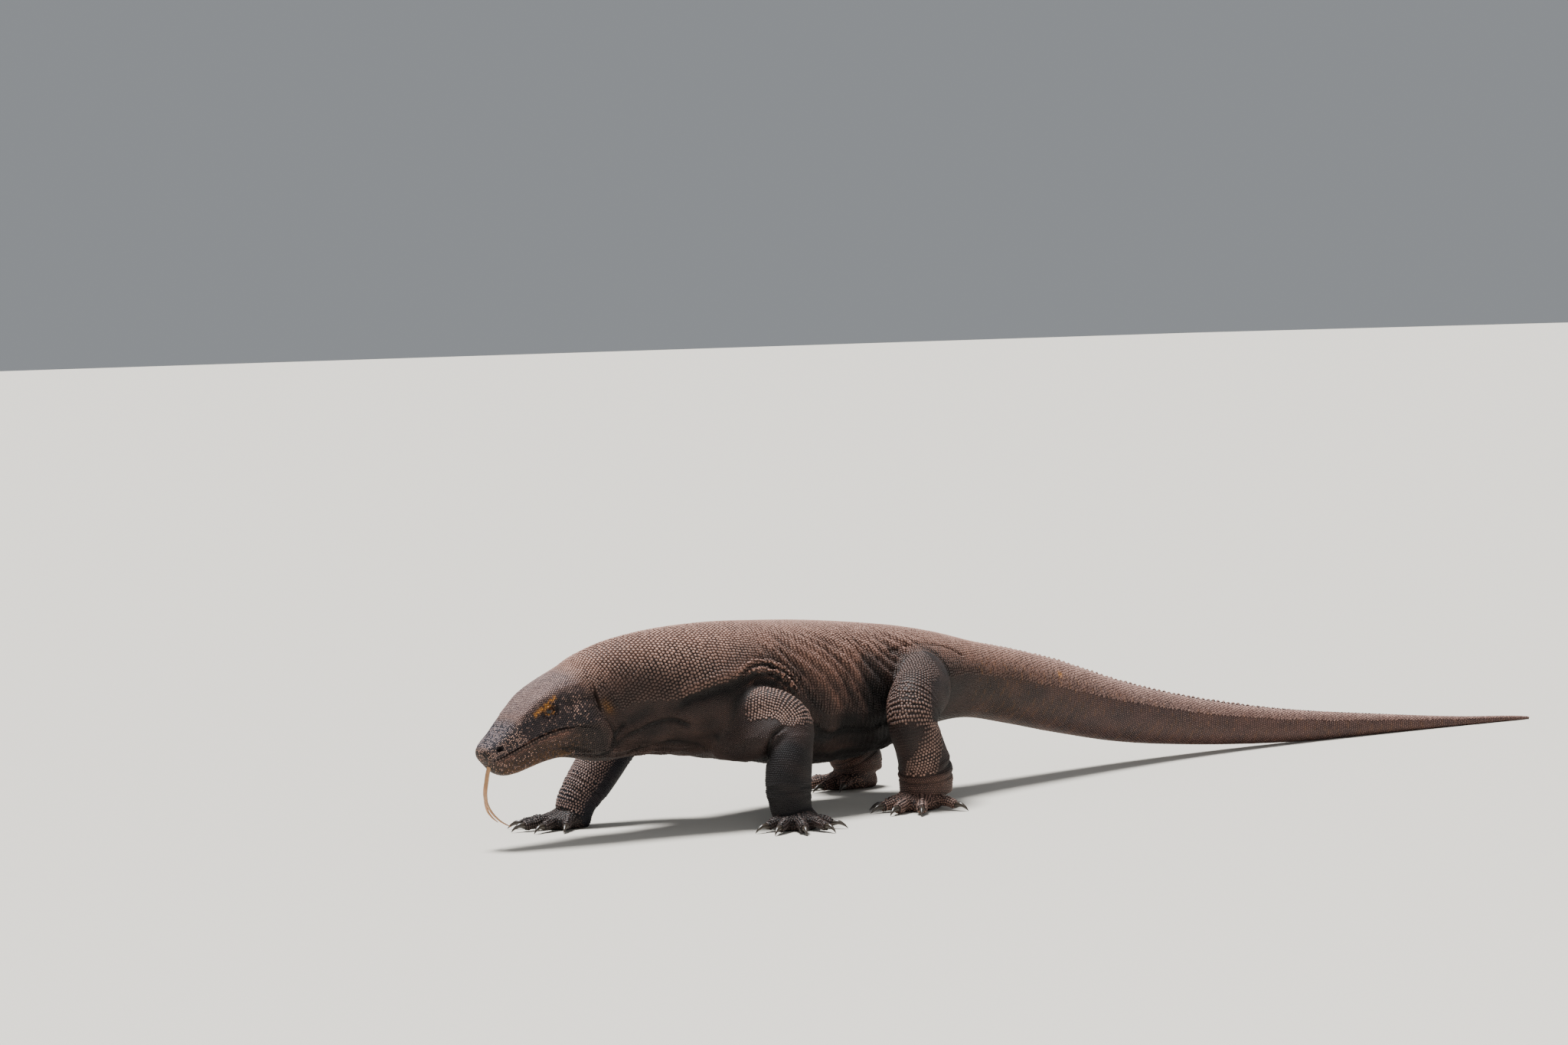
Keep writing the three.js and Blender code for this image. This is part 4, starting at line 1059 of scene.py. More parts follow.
# %% Where the beads of a leg are coarse
def limb_marks(name, along, p, n):
    """Share of coarse beads on a leg, from height and from the way the skin faces."""
    side = -1.0 if name.startswith("left") else 1.0
    out, front, high = n[:, 1] * side, -n[:, 0], p[:, 2]
    if name == "left_arm":
        return (step(high, 142, 178) * step(out + 0.5 * n[:, 2], -0.2, 0.7)
                * step(along, 26, 60))
    if name == "right_arm":
        shin = step(front - 0.3 * n[:, 1], 0.0, 0.7) * step(-high, -165, -120)
        return np.maximum(shin, step(high, 112, 142) * step(out + 0.5 * n[:, 2], -0.1, 0.7)
                          * step(along, 30, 60))
    rear = step(-front, -0.1, 0.5) * (1 - step(high, 196, 212))
    thigh = step(high, 130, 150) * step(front + 0.55 * out, -0.45, 0.35) * (1 - 0.9 * rear)
    centre = np.interp(high, [66, 135], [0.62, -0.4])
    shin = (1 - step(high, 130, 150)) * bump(front, centre, 0.6) * step(out, -0.35, 0.35)
    return np.clip(thigh + shin, 0, 1) * step(high, 52, 62)


# %% [markdown]
# Rows go round each leg as on the body. A toe has one row of wide plates on top and small
# scales at its sides. The arms are darker further down, the feet paler.

# %% Rows of spots on the legs and toes
def lay_tube_rows(line, outward, pitch, start, end):
    """Places along and round a tube, ring after ring."""
    knots = knots_of(line)
    along, row = start, 0
    while along < knots[-1] - end:
        here = smooth(line, knots, np.array([along]))[0]
        n = max(5, int(round(np.pi * (here[3] + here[4]) / pitch)))
        angle = (np.arange(n) + (row % 2) * 0.5) / n * 2 * np.pi
        angle = angle + chance.uniform(-0.1, 0.1, n) * 2 * np.pi / n
        yield along + chance.uniform(-0.12, 0.12, n) * pitch, angle
        along += pitch * 0.86
        row += 1


# Bearings and widths of the scales in one ring of a toe, the top plate first.
PLATES = np.radians([0, 42, 70, 98, 126, 154, 180, -154, -126, -98, -70, -42])
PLATE_WIDTH = np.array([8.2, 4.4, 4, 3.8, 3.8, 3.8, 3.8, 3.8, 3.8, 3.8, 4, 4.4])
PLATE_LONG, PLATE_STEP, FINE_PITCH = 4.3, 3.9, 3.2
BEAD_PALE = {"left_arm": 0.54, "right_arm": 0.55, "left_leg": 0.42, "right_leg": 0.3}
# Each spot has a tag for its tube: 0 to 3 for the legs, and from 4 on for the toes. The
# elbow's bag counts as leg, because its spots are said to lie more than 140 mm along.
limb_spots = []
for index, (name, limb) in enumerate(LIMBS.items()):
    line, outward = np.array(limb["line"], float), limb["outward"]
    for coarse, pitch in ((True, 4.6 if name.endswith("arm") else 5.2), (False, FINE_PITCH)):
        laid = [np.stack(r) for r in lay_tube_rows(line, outward, pitch, 4, 1)]
        along, angle = np.concatenate(laid, axis=1)
        p, n, d = tube_frame(line, outward, along, angle)
        mark = limb_marks(name, along, p, n)
        rise = limb_folds(line, along, angle)
        p = p + n * rise[:, None]
        keep = (mark > 0.5) == coarse
        low_down = step(-p[:, 2], -150, -110)
        # The pale share sets the crown's pale tip: partly wear, partly a painted highlight.
        wear_and_highlight = BEAD_PALE[name] * step(mark, 0.15, 1.1)
        if name.endswith("leg"):
            foot = step(-p[:, 2], -68, -46)
            dark = 0.76 - 0.14 * step(mark, 0.15, 0.9) - 0.4 * foot
            wear_and_highlight = wear_and_highlight * (1 - 0.6 * step(p[:, 2], 165, 205)) + 0.6 * foot
        else:
            dark = 0.72 - 0.1 * step(mark, 0.3, 0.9) + 0.3 * low_down
        # The last share is painted shade in the sunk folds of the legs.
        limb_spots.append([v[keep] for v in (
            p, n, d, 0 * along + pitch * (1.15 if coarse else 1), 0 * along + pitch, along,
            angle, np.full(len(p), index), wear_and_highlight,
            np.clip(dark, 0, 1), np.full(len(p), 1.0 * coarse), np.clip(-rise / 2.4, 0, 1))])
    if name == "left_arm":
        line = np.array(ELBOW_FOLD, float)
        laid = [np.stack(r) for r in lay_tube_rows(line, BAG_FACING, FINE_PITCH, 1, 1)]
        along, angle = np.concatenate(laid, axis=1)
        p, n, d = tube_frame(line, BAG_FACING, along, angle)
        full = np.ones(len(p))
        limb_spots.append([p, n, d, full * FINE_PITCH, full * FINE_PITCH, along + 150, angle, full * 4,
                           0 * full, 0.68 * full, 0 * full, 0 * full])
    for i, (bearing, reach, thick) in enumerate(TOES[limb["toes"]]):
        line, _, _ = toe_line(limb, bearing, reach, thick)
        length = knots_of(line)[-1]
        along = np.arange(8, length - 1, PLATE_STEP)
        along = np.repeat(along, len(PLATES))
        angle = np.tile(PLATES, len(along) // len(PLATES))
        p, n, d = tube_frame(line, TOE_FACING, along, angle)
        full = np.ones(len(p))
        limb_spots.append([p, n, d, full * PLATE_LONG, np.tile(PLATE_WIDTH, len(p) // len(PLATES)),
                           along, angle, full * (4 + index * 5 + i),
                           full * (0.45 if limb["toes"] == "foot" else 0.08),
                           full * (0.6 if limb["toes"] == "foot" else 0.95), full, 0 * full])
(p_limb, n_limb, d_limb, long_limb, wide_limb, along_limb, angle_limb, tag_limb, pale_limb,
 dark_limb, coarse_limb, hollow_limb) = [
    np.concatenate([l[i] for l in limb_spots]) for i in range(12)]
print(len(p_limb), "spots on legs and toes")


# %% [markdown]
# Some scales stand in single file: two rows along the lips, and on the tail a crest of
# upright scutes that grows behind the hips and dies away. Rings of small plates close the
# snout's tip.

# %% Helpers for open places and single files
def open_places(p):
    """True where no scale grows: on the eye, in the nostril and the ear slit."""
    u, v, h = head_coordinates(p)
    a, b = eye_coordinates(u, h)
    eye = (lid_gap(a, b) < 0.9) & (np.abs(v) > 20)
    nose = (in_nostril(u, h) < 1.15) & (np.abs(v) > 8)
    ear = (in_ear(u, h) < 1.1) & (np.abs(v) > 30)
    return eye | nose | ear


def body_sheet(s, t):
    """The spot's place on the colour sheet."""
    return np.stack([0.02 + 0.96 * s / STATIONS[-1], 0.35 + 0.6 * t / 20], 1)


def flat_row(s, t, along, around, region, pale, dark, high):
    """A single file of larger scales along one row of the body."""
    p, n, d = body_frame(s, t)
    p = p + n * (body_folds(s, t))[:, None]
    full = np.ones(len(s))
    return dict(p=p, n=n, d=d, a=full * along, c=full * around, region=full * REGION[region],
                uv=body_sheet(s, t),
                coarse=full, pale=full * pale, dark=full * dark, high=full * high,
                hollow=0 * full, gap=full * min(np.min(along), np.min(around)))


ROW_GAP = np.linalg.norm(SECTIONS[:, 1] - SECTIONS[:, 0], axis=1)


def crest_row(where, away):
    """The row that lies a few millimetres from the ridge of the back."""
    return away / np.interp(where, np.arange(len(ROW_GAP)), ROW_GAP)


# %% Lips, crest and the tip of the snout
lips = []
for row, wide in ((5.36, 3.6), (6.34, 3.8)):
    s_lip = np.arange(7.0, station(7.6), 4.9)
    for t_lip in (row, 20 - row):
        lips.append(flat_row(s_lip, np.full(len(s_lip), t_lip), 5.2, wide, "lip", 0.1, 0.8, 0))
crest_from, crest_to = station(21) + 40, station(28)
s_crest = np.arange(crest_from, crest_to, 6.2)
grown = np.minimum(np.minimum(1, 0.45 + (s_crest - crest_from) / 400),
                   0.25 + (crest_to - s_crest) / 300)
beside = crest_row(section_at(s_crest), 1.5 * grown)
cleared = crest_row(w_all, 2.4 * np.interp(s_all, s_crest, grown))
grown = grown * chance.uniform(0.75, 1.1, len(grown))
crest = [flat_row(s_crest[k::2], (side * beside[k::2]) % 20, 9.5 * grown[k::2],
                  4.0 * grown[k::2], "crest", 0.45, 0.6, 4.2 * grown[k::2])
         for k, side in ((0, 1), (1, -1))]
nose_tip = []
for share in (0.1, 0.38, 0.66, 0.92):
    count = max(3, int(round(share * 76 / 3.0)))
    t_tip = np.arange(count) / count * 20
    row = flat_row(np.full(count, 0.1), t_tip, 3.0, 3.0, "head", 0.2, 0.9, 0)
    row["p"] = SECTIONS[0].mean(0) + share * (SECTIONS[0][np.round(t_tip).astype(int) % 20]
                                              - SECTIONS[0].mean(0))
    row["n"] = np.tile(FORWARD, (count, 1))
    row["d"] = np.tile(UP, (count, 1))
    nose_tip.append(row)
print(sum(len(l["p"]) for l in lips), "lip scales", len(s_crest), "crest scutes")

# %% [markdown]
# All spots go into one table, without those on the mouth line and beside the crest. The
# single files come first, because they keep their places.

# %% Gather all spots in one table
atlas_body = body_sheet(s_all, t_all)
atlas_limb = np.stack([
    0.02 + 0.04 * tag_limb + 0.03 * (angle_limb % (2 * np.pi)) / (2 * np.pi),
    0.02 + 0.001 * along_limb], 1)
region_body = np.digitize(w_all, [10.2, 14, 17.5, 21, 25])
on_leg = (tag_limb < 4) | (along_limb > 140)
region_limb = np.where(on_leg, REGION["leg"], REGION["toe"])
half_all = fold_half(t_all)
bare_zone = ((np.abs(half_all - 6) < 0.13) & (w_all < 8.0)
             | (half_all > 5.02) & (half_all < 6.6) & (w_all < 7.6) & (s_all > 5))
bare_zone |= (half_all < cleared) & (s_all > crest_from) & (s_all < crest_to)
from_body = dict(p=p_all, n=n_all, d=d_all, a=along_all, c=around_all, uv=atlas_body,
                 region=region_body, coarse=coarse_all, pale=pale_all, dark=dark_all,
                 high=np.zeros(len(p_all)), hollow=hollow_all, gap=gap_all)
from_limb = dict(p=p_limb, n=n_limb, d=d_limb, a=long_limb, c=wide_limb, uv=atlas_limb,
                 region=region_limb, coarse=coarse_limb, pale=pale_limb, dark=dark_limb,
                 high=np.zeros(len(p_limb)), hollow=hollow_limb,
                 gap=np.minimum(long_limb, wide_limb))
spots = {k: np.concatenate([v, from_limb[k]]) for k, v in from_body.items()}
keep = ~open_places(spots["p"]) & ~np.concatenate([bare_zone, np.zeros(len(p_limb), bool)])
spots = {k: np.concatenate([row[k] for row in crest + lips + nose_tip] + [v[keep]])
         for k, v in spots.items()}
print(len(spots["p"]), "spots in the table")

# %% [markdown]
# Each spot drops to the nearest skin. It is left out if none is near, if the skin faces
# another way, under a sole, or if another scale has the room. A grid of small cells finds
# the neighbours fast.

# %% Drop every spot onto the skin and thin out the crowded ones
# Metres: the cells' size, the furthest drop, and what counts as the underside of a foot.
CELL, DROP, SOLE_HEIGHT, FACING_DOWN = 0.008, 0.006, 0.0015, -0.5
# Shares of its size that a scale claims: in a row, to fill a patch, once there, in the push.
ROW_ROOM, FILL_ROOM, FILL_CLAIM, PUSH_ROOM = 0.66, 0.86, 0.78, 0.94
buckets = {}


def crowded(p, reach):
    """True if a scale held nearby leaves no room for one of this reach."""
    cx, cy, cz = int(p[0] // CELL), int(p[1] // CELL), int(p[2] // CELL)
    for i in (cx - 1, cx, cx + 1):
        for j in (cy - 1, cy, cy + 1):
            for k in (cz - 1, cz, cz + 1):
                for q, other in buckets.get((i, j, k), ()):
                    gap = (reach + other) * 0.5
                    if ((q[0] - p[0]) ** 2 + (q[1] - p[1]) ** 2 + (q[2] - p[2]) ** 2) < gap * gap:
                        return True
    return False


def hold(p, reach):
    cell = (int(p[0] // CELL), int(p[1] // CELL), int(p[2] // CELL))
    buckets.setdefault(cell, []).append((p, reach))


where_model = to_model(spots["p"])
reach_all = ROW_ROOM * spots["gap"] / 1000
kept, landed, facing = [], [], []
for i in range(len(where_model)):
    hit, normal, _, gap = skin_tree.find_nearest(Vector(where_model[i]), DROP)
    if hit is None or normal.dot(Vector(spots["n"][i])) < 0.35:
        continue
    if hit.z < SOLE_HEIGHT and normal.z < FACING_DOWN:
        continue
    if spots["high"][i] == 0 and crowded(hit, reach_all[i]):
        continue
    hold(tuple(hit), reach_all[i])
    kept.append(i)
    landed.append(hit[:])
    facing.append(normal[:])
seeds = {k: v[kept] for k, v in spots.items()}
seeds["p"], seeds["n"] = np.array(landed), np.array(facing)
print(len(kept), "scales laid in rows")

# %% [markdown]
# Round the joints the rows of body and leg leave gaps. Random places on the skin are tried,
# and where there is room a scale like its nearest neighbour grows.

# %% Fill the bare patches round the joints
def point_tree(points):
    """A tree that finds the nearest of many points."""
    tree = KDTree(len(points))
    for i, p in enumerate(points):
        tree.insert(p, i)
    tree.balance()
    return tree


tree = point_tree(landed)
corners = numbers(joined.loops, "vertex_index", 1, np.int32).reshape(-1, 3)
tri = place[corners]
cross = np.cross(tri[:, 1] - tri[:, 0], tri[:, 2] - tri[:, 0])
area = np.linalg.norm(cross, axis=1) / 2
face_normal = cross / (2 * area[:, None] + 1e-15)
tries = 260000
pick = chance.choice(len(area), tries, p=area / area.sum())
f1, f2 = chance.random((2, tries))
flip = f1 + f2 > 1
f1[flip], f2[flip] = 1 - f1[flip], 1 - f2[flip]
guess = tri[pick, 0] + (tri[pick, 1] - tri[pick, 0]) * f1[:, None] \
    + (tri[pick, 2] - tri[pick, 0]) * f2[:, None]
on_sole = (guess[:, 2] < SOLE_HEIGHT) & (face_normal[pick][:, 2] < FACING_DOWN)
closed = open_places(to_body(guess)) | on_sole
FROM_SINGLE_FILE = 0.0042
single_file = (REGION["head"], REGION["crest"], REGION["lip"])
filled, source = [], []
for i in np.nonzero(~closed)[0]:
    _, index, gap = tree.find(guess[i])
    reach = FILL_ROOM * seeds["gap"][index] / 1000
    if gap < reach or crowded(guess[i], reach):
        continue
    if seeds["region"][index] in single_file and gap < FROM_SINGLE_FILE:
        continue
    hold(tuple(guess[i]), FILL_CLAIM * reach)
    filled.append(i)
    source.append(index)
extra = {k: v[source] for k, v in seeds.items()}
extra["p"], extra["n"] = guess[filled], face_normal[pick[filled]]
extra["c"] = np.minimum(extra["c"], extra["a"])
extra["a"] = np.minimum(extra["a"], 1.15 * extra["c"])
extra["high"] = 0 * extra["high"]
for file_name, plain_name in (("crest", "tail"), ("lip", "head")):
    extra["region"][extra["region"] == REGION[file_name]] = REGION[plain_name]
seeds = {k: np.concatenate([v, extra[k]]) for k, v in seeds.items()}
print(len(filled), "scales fill bare patches")

# %% [markdown]
# Rows laid on a bent tube crowd on the inside of the bend and gape on the outside. Real
# scales have pushed against one another as they grew, so each spot is now pushed away
# from those that are too close, a few times over, and put back on the skin each time.


# %% Let the spots push one another apart
def close_pairs(p, reach):
    """Pairs of points that share a cell or sit in cells side by side."""
    cell = np.floor((p - p.min(0)) / reach).astype(np.int64) + 1
    wide = cell.max(0) + 2
    key = (cell[:, 0] * wide[1] + cell[:, 1]) * wide[2] + cell[:, 2]
    order = np.argsort(key, kind="stable")
    names, start, count = np.unique(key[order], return_index=True, return_counts=True)
    firsts, seconds = [], []
    for dx, dy, dz in [(x, y, z) for x in (-1, 0, 1) for y in (-1, 0, 1) for z in (-1, 0, 1)
                       if (x, y, z) >= (0, 0, 0)]:
        other = names + (dx * wide[1] + dy) * wide[2] + dz
        at = np.minimum(np.searchsorted(names, other), len(names) - 1)
        here = np.nonzero(names[at] == other)[0]
        at = at[here]
        size = count[here] * count[at]
        which = np.repeat(np.arange(len(here)), size)
        offset = np.arange(size.sum()) - np.repeat(np.cumsum(size) - size, size)
        i = order[start[here][which] + offset // count[at][which]]
        j = order[start[at][which] + offset % count[at][which]]
        if (dx, dy, dz) == (0, 0, 0):
            i, j = i[i < j], j[i < j]
        firsts.append(i)
        seconds.append(j)
    return np.concatenate(firsts), np.concatenate(seconds)


NEIGHBOUR_REACH, PUSH_SHARE = 0.0072, 0.32
size_of = PUSH_ROOM * seeds["gap"] / 1000
for _ in range(10):
    p = seeds["p"]
    i, j = close_pairs(p, NEIGHBOUR_REACH)
    apart = p[j] - p[i]
    gap = np.linalg.norm(apart, axis=1)
    want = 0.5 * (size_of[i] + size_of[j])
    near = gap < want
    i, j, apart, gap, want = i[near], j[near], apart[near], gap[near], want[near]
    push = apart / (gap[:, None] + 1e-9) * ((want - gap) * PUSH_SHARE)[:, None]
    push[(seeds["region"][i] == REGION["crest"]) | (seeds["region"][j] == REGION["crest"])] = 0
    for k in range(3):
        p[:, k] += (np.bincount(j, push[:, k], len(p)) - np.bincount(i, push[:, k], len(p)))
    for n in range(len(p)):
        hit, normal, _, _ = skin_tree.find_nearest(Vector(p[n]))
        p[n] = hit
        seeds["n"][n] = normal
keep = ~open_places(to_body(seeds["p"]))
keep &= ~((seeds["p"][:, 2] < SOLE_HEIGHT) & (seeds["n"][:, 2] < FACING_DOWN))
seeds = {k: v[keep] for k, v in seeds.items()}
print(len(seeds["p"]), "scales after the push")

# %% [markdown]
# Little light gets into the fold between a leg and the body. Scales there are marked as
# hollow, so that they stay shaded under flat light.

# %% Find the spots that lie in the crease between a leg and the body
def crease_share(p, one, other, reach):
    apart = max(one.find_nearest(p)[3], other.find_nearest(p)[3])
    return math.exp(-(apart / reach) ** 2)


BAG_CREASE = 0.004
CREASE_REACH = {"left_arm": 0.006, "right_arm": 0.008, "left_leg": 0.008, "right_leg": 0.008}
for name, limb in LIMBS.items():
    root = to_model(np.array(limb["line"])[1, :3])
    for i in np.nonzero(np.linalg.norm(seeds["p"] - root, axis=1) < 0.16)[0]:
        p = Vector(seeds["p"][i])
        deep = crease_share(p, bvh_body, bvh_limbs[name], CREASE_REACH[name])
        if name == "left_arm" and p.z < BAG_TOP:
            deep = crease_share(p, bvh_fold, bvh_limbs[name], BAG_CREASE) * (p.z < BAG_CHANGE)
        seeds["hollow"][i] = max(seeds["hollow"][i], 0.9 * deep)
seeds["hollow"] = np.maximum(seeds["hollow"], elbow_crease(to_body(seeds["p"])))
print(int((seeds["hollow"] > 0.5).sum()), "scales lie deep in a fold")

# %% [markdown]
# ## Making the scales
# One bead is a low six-sided dome with its root sunk in the skin. Geometry Nodes puts one
# on every spot, turned to lie along the body and scaled to the spot's own size. The
# instances are then realised, because a reusable model needs plain mesh.


# %% Colours and nodes
def colour(hex_code, alpha=1.0):
    """An sRGB hex colour as the linear values that shaders use."""
    out = []
    for i in (1, 3, 5):
        v = int(hex_code[i:i + 2], 16) / 255
        out.append(v / 12.92 if v <= 0.04045 else ((v + 0.055) / 1.055) ** 2.4)
    return (*out, alpha)


def add(tree, kind, inputs=None, **settings):
    """Add a node, with its settings, and its inputs as values or sockets to link from."""
    node = tree.nodes.new(kind)
    for key, value in settings.items():
        setattr(node, key, value)
    for key, value in (inputs or {}).items():
        if isinstance(value, bpy.types.NodeSocket):
            tree.links.new(value, node.inputs[key])
        else:
            node.inputs[key].default_value = value
    return node


def new_material(name):
    """An empty material, its node tree and its main shader."""
    made = bpy.data.materials.new(name)
    made.use_nodes = True
    return made, made.node_tree, made.node_tree.nodes["Principled BSDF"]


print("horn brown", [round(v, 3) for v in colour("#45332d")])

# %% [markdown]
# Tens of thousands of scales must each be very light, so a bead has thirteen points and a
# fine scale seven. A keeled one, for the crest, is steeper.

# %% One bead
def bead_mesh(name, squareness, kind):
    """A six-sided dome, closed underneath, one unit across: thirteen points, or seven."""
    rings = {"dome": [(0.78, 0.60), (1.12, -0.35)], "keel": [(0.8, 0.3), (1.0, -0.35)],
             "fine": [(1.04, -0.3)]}[kind]
    points = [(0.08, 0, 1.0)]
    for ring, height in rings:
        for k in range(6):
            x, y = math.cos(k * math.pi / 3), math.sin(k * math.pi / 3)
            grow = ring * (1 + squareness * math.sin(k * math.pi / 1.5) ** 2 * 0.18) / 2
            points.append((x * grow, y * grow, height))
    faces = [(0, 1 + k, 1 + (k + 1) % 6) for k in range(6)]
    if len(rings) == 2:
        faces += [(1 + k, 7 + k, 7 + (k + 1) % 6, 1 + (k + 1) % 6) for k in range(6)]
    faces.append(tuple(len(points) - 6 + k for k in reversed(range(6))))
    mesh = bpy.data.meshes.new(name)
    mesh.from_pydata(points, [], faces)
    for polygon in mesh.polygons[:-1]:
        polygon.use_smooth = True
    return bpy.data.objects.new(name, mesh)


# %% [markdown]
# The tree reads sizes and turns from the spots and takes a width, a height and a seed as
# named inputs. Chance makes each scale up to a tenth larger or smaller.

# %% The tree that sets a bead on every spot
def scale_tree(bead, material):
    tree = bpy.data.node_groups.new("set scales", "GeometryNodeTree")
    for label, kind in (("Spots", "Geometry"), ("Width", "Float"), ("Height", "Float"),
                        ("Seed", "Int")):
        tree.interface.new_socket(label, in_out="INPUT", socket_type="NodeSocket" + kind)
    tree.interface.new_socket("Scales", in_out="OUTPUT", socket_type="NodeSocketGeometry")
    start, end = add(tree, "NodeGroupInput"), add(tree, "NodeGroupOutput")
    size, turned = [add(tree, "GeometryNodeInputNamedAttribute", {"Name": name},
                        data_type="FLOAT_VECTOR") for name in ("size", "turn")]
    factor = add(tree, "ShaderNodeCombineXYZ", {
        "X": start.outputs["Width"], "Y": start.outputs["Width"], "Z": start.outputs["Height"]})
    vary = add(tree, "FunctionNodeRandomValue", {"Min": 0.9, "Max": 1.1,
                                                 "Seed": start.outputs["Seed"]})
    scaled = add(tree, "ShaderNodeVectorMath", {0: size.outputs[0], 1: factor.outputs[0]},
                 operation="MULTIPLY")
    varied = add(tree, "ShaderNodeVectorMath", {0: scaled.outputs[0], "Scale": vary.outputs[1]},
                 operation="SCALE")
    source = add(tree, "GeometryNodeObjectInfo", {"Object": bead})
    points = add(tree, "GeometryNodeMeshToPoints", {"Mesh": start.outputs["Spots"]})
    to_turn = add(tree, "FunctionNodeEulerToRotation", {"Euler": turned.outputs[0]})
    placed = add(tree, "GeometryNodeInstanceOnPoints", {
        "Points": points.outputs["Points"], "Instance": source.outputs["Geometry"],
        "Rotation": to_turn.outputs[0], "Scale": varied.outputs[0]})
    real = add(tree, "GeometryNodeRealizeInstances", {"Geometry": placed.outputs[0]})
    dressed = add(tree, "GeometryNodeSetMaterial", {
        "Geometry": real.outputs[0], "Material": material})
    tree.links.new(dressed.outputs[0], end.inputs[0])
    return tree


# %% [markdown]
# ## The hide's finish
# The beads are grey-brown horn, paler on their crowns, partly from wear and partly as a
# painted highlight, with a reddish cast on the back and near black low on the arms. Between
# them the skin is darker and matt. Both carry the same marks, worked out from where a spot
# lies: ochre round the eye, and blue on the snout, which is a painted reflection of the sky.

# %% Markings of the head
def head_marks(p, where, t, spark):
    """Ochre, blue, dark and pale shares of the spots on the head."""
    u, v, h = head_coordinates(p)
    side = np.abs(v) > 18
    a, b = eye_coordinates(u, h)
    line = np.clip((u - 70) / 45, 0, 1)
    brow = bump(h, 58.5 - 6.5 * line, 3.0) * step(u, 66, 72) * (1 - step(u, 112, 118)) * side
    lids = (1 - step(lid_gap(a, b), 1.2, 3.0)) * side
    jaw = step(t, 6.5, 7.2) * (1 - step(where, 7.0, 9))
    jowl = step(where, 7.1, 8.1) * step(t, 5.3, 6.0)
    face = side * step(t, 2.3, 3.0) * (1 - step(t, 5.5, 6.0)) * step(u, 8, 22)
    snout = step(u, 122, 160)
    top = (1 - step(t, 2.2, 3.2)) * (1 - snout)
    # The face under the brow is darker, partly its own colour and partly painted shade; the top of the
    # head is paler, partly a painted highlight.
    dark = 0.4 * top + 0.95 * face * (1 - 0.2 * snout) + (0.72 + 0.2 * spark) * jaw + 1.0 * jowl
    dark = np.maximum(dark, 0.95 * snout * (t < 5.6))
    temple = np.exp(-((u - 45) / 20) ** 2 - ((h - 34) / 22) ** 2)
    dark = np.clip(dark * (1 - brow) * (1 - 0.3 * temple), 0, 1)
    # Blue on the snout, the crown and the face is a painted reflection of the sky.
    blue = 0.5 * step(u, 126, 162) * (1 - step(t, 2.2, 3.4)) * (1 - step(u, 196, 204))
    blue = np.maximum(blue * (0.4 + 0.6 * (spark < 0.6)), 0.1 * face + 0.25 * top)
    under = np.exp(-((u - 106) / 14) ** 2 - ((h - 36) / 5) ** 2)
    flecks = np.maximum.reduce([0.75 * temple, 0.4 * under, 0.66 * snout * (t < 5.6),
                                0.16 * face, 0.2 * jaw])
    pale = 0.58 * top * (0.6 + 0.8 * spark) + 0.04
    strong = 0.16 + 0.5 * spark / (flecks + 0.01) + 0.3 * snout + 0.3 * temple
    pale = np.where(spark < flecks, strong, pale)
    tan = bump(where, 10.15, 0.28) * bump(t, 4.65, 0.5)
    ochre = np.clip(0.8 * brow * (spark < 0.72) + 0.45 * lids, 0, 1) + 0.2 * tan
    ochre += 0.05 * jaw * (spark > 0.7) + 0.08 * bump(t, 8.3, 0.7) * (where < 7.5) * (spark > 0.5)
    return np.clip(ochre, 0, 1), blue, dark, np.clip(pale, 0, 1)


# %% [markdown]
# Body and legs are marked too: cooler on the arms, blue-grey towards the tail's end as a
# painted sheen of the sky, faint yellow streaks on the tail, and soft patches over
# everything, as no hide is worn evenly.

# %% Markings of the whole hide
def ragged(p, size):
    """Smooth patches from -1 to 1, about one size across."""
    q = p / size
    return (np.sin(q[:, 0] * 2.1 + 1.7 * np.sin(q[:, 1] * 1.3 + q[:, 2] * 0.7))
            * np.cos(q[:, 2] * 2.4 + 1.3 * np.sin(q[:, 0] * 1.1 - q[:, 1])))


# The sheet says where along and round the body a spot lies.
w_seed = np.interp(seeds["uv"][:, 0], [0.02, 0.98], [0, STATIONS[-1]])
w_seed = section_at(w_seed)
t_seed = fold_half((seeds["uv"][:, 1] - 0.35) / 0.6 * 20)
on_body = ~np.isin(seeds["region"], (REGION["leg"], REGION["toe"]))
p_seed = to_body(seeds["p"])
spark = chance.random(len(p_seed))
ochre, blue, dark, pale = head_marks(p_seed, w_seed, t_seed, spark)
on_head = (1 - step(w_seed, 8.9, 10.0)) * on_body
seeds["ochre"] = ochre * on_body * (w_seed < 10.9)
# On the sheet the left arm's column ends at 0.05 and the right arm's at 0.09.
cool = np.select([seeds["uv"][:, 0] < 0.05, seeds["uv"][:, 0] < 0.09], [0.03, 0.16], 0.02)
seeds["blue"] = np.where(on_body, blue * on_head, cool)
lip = seeds["region"] == REGION["lip"]
seeds["dark"] = np.where(lip, 0.82, dark * on_head + seeds["dark"] * (1 - on_head))
lip_pale = 0.06 + 0.16 * spark
seeds["pale"] = np.where(lip, lip_pale, pale * on_head + seeds["pale"] * (1 - on_head))
tail = on_body & (w_seed > 21.5)
streak = (ragged(p_seed, np.array([4.0, 16, 16])) > 0.6) & tail & (t_seed > 3.2)
seeds["ochre"] += 0.09 * streak
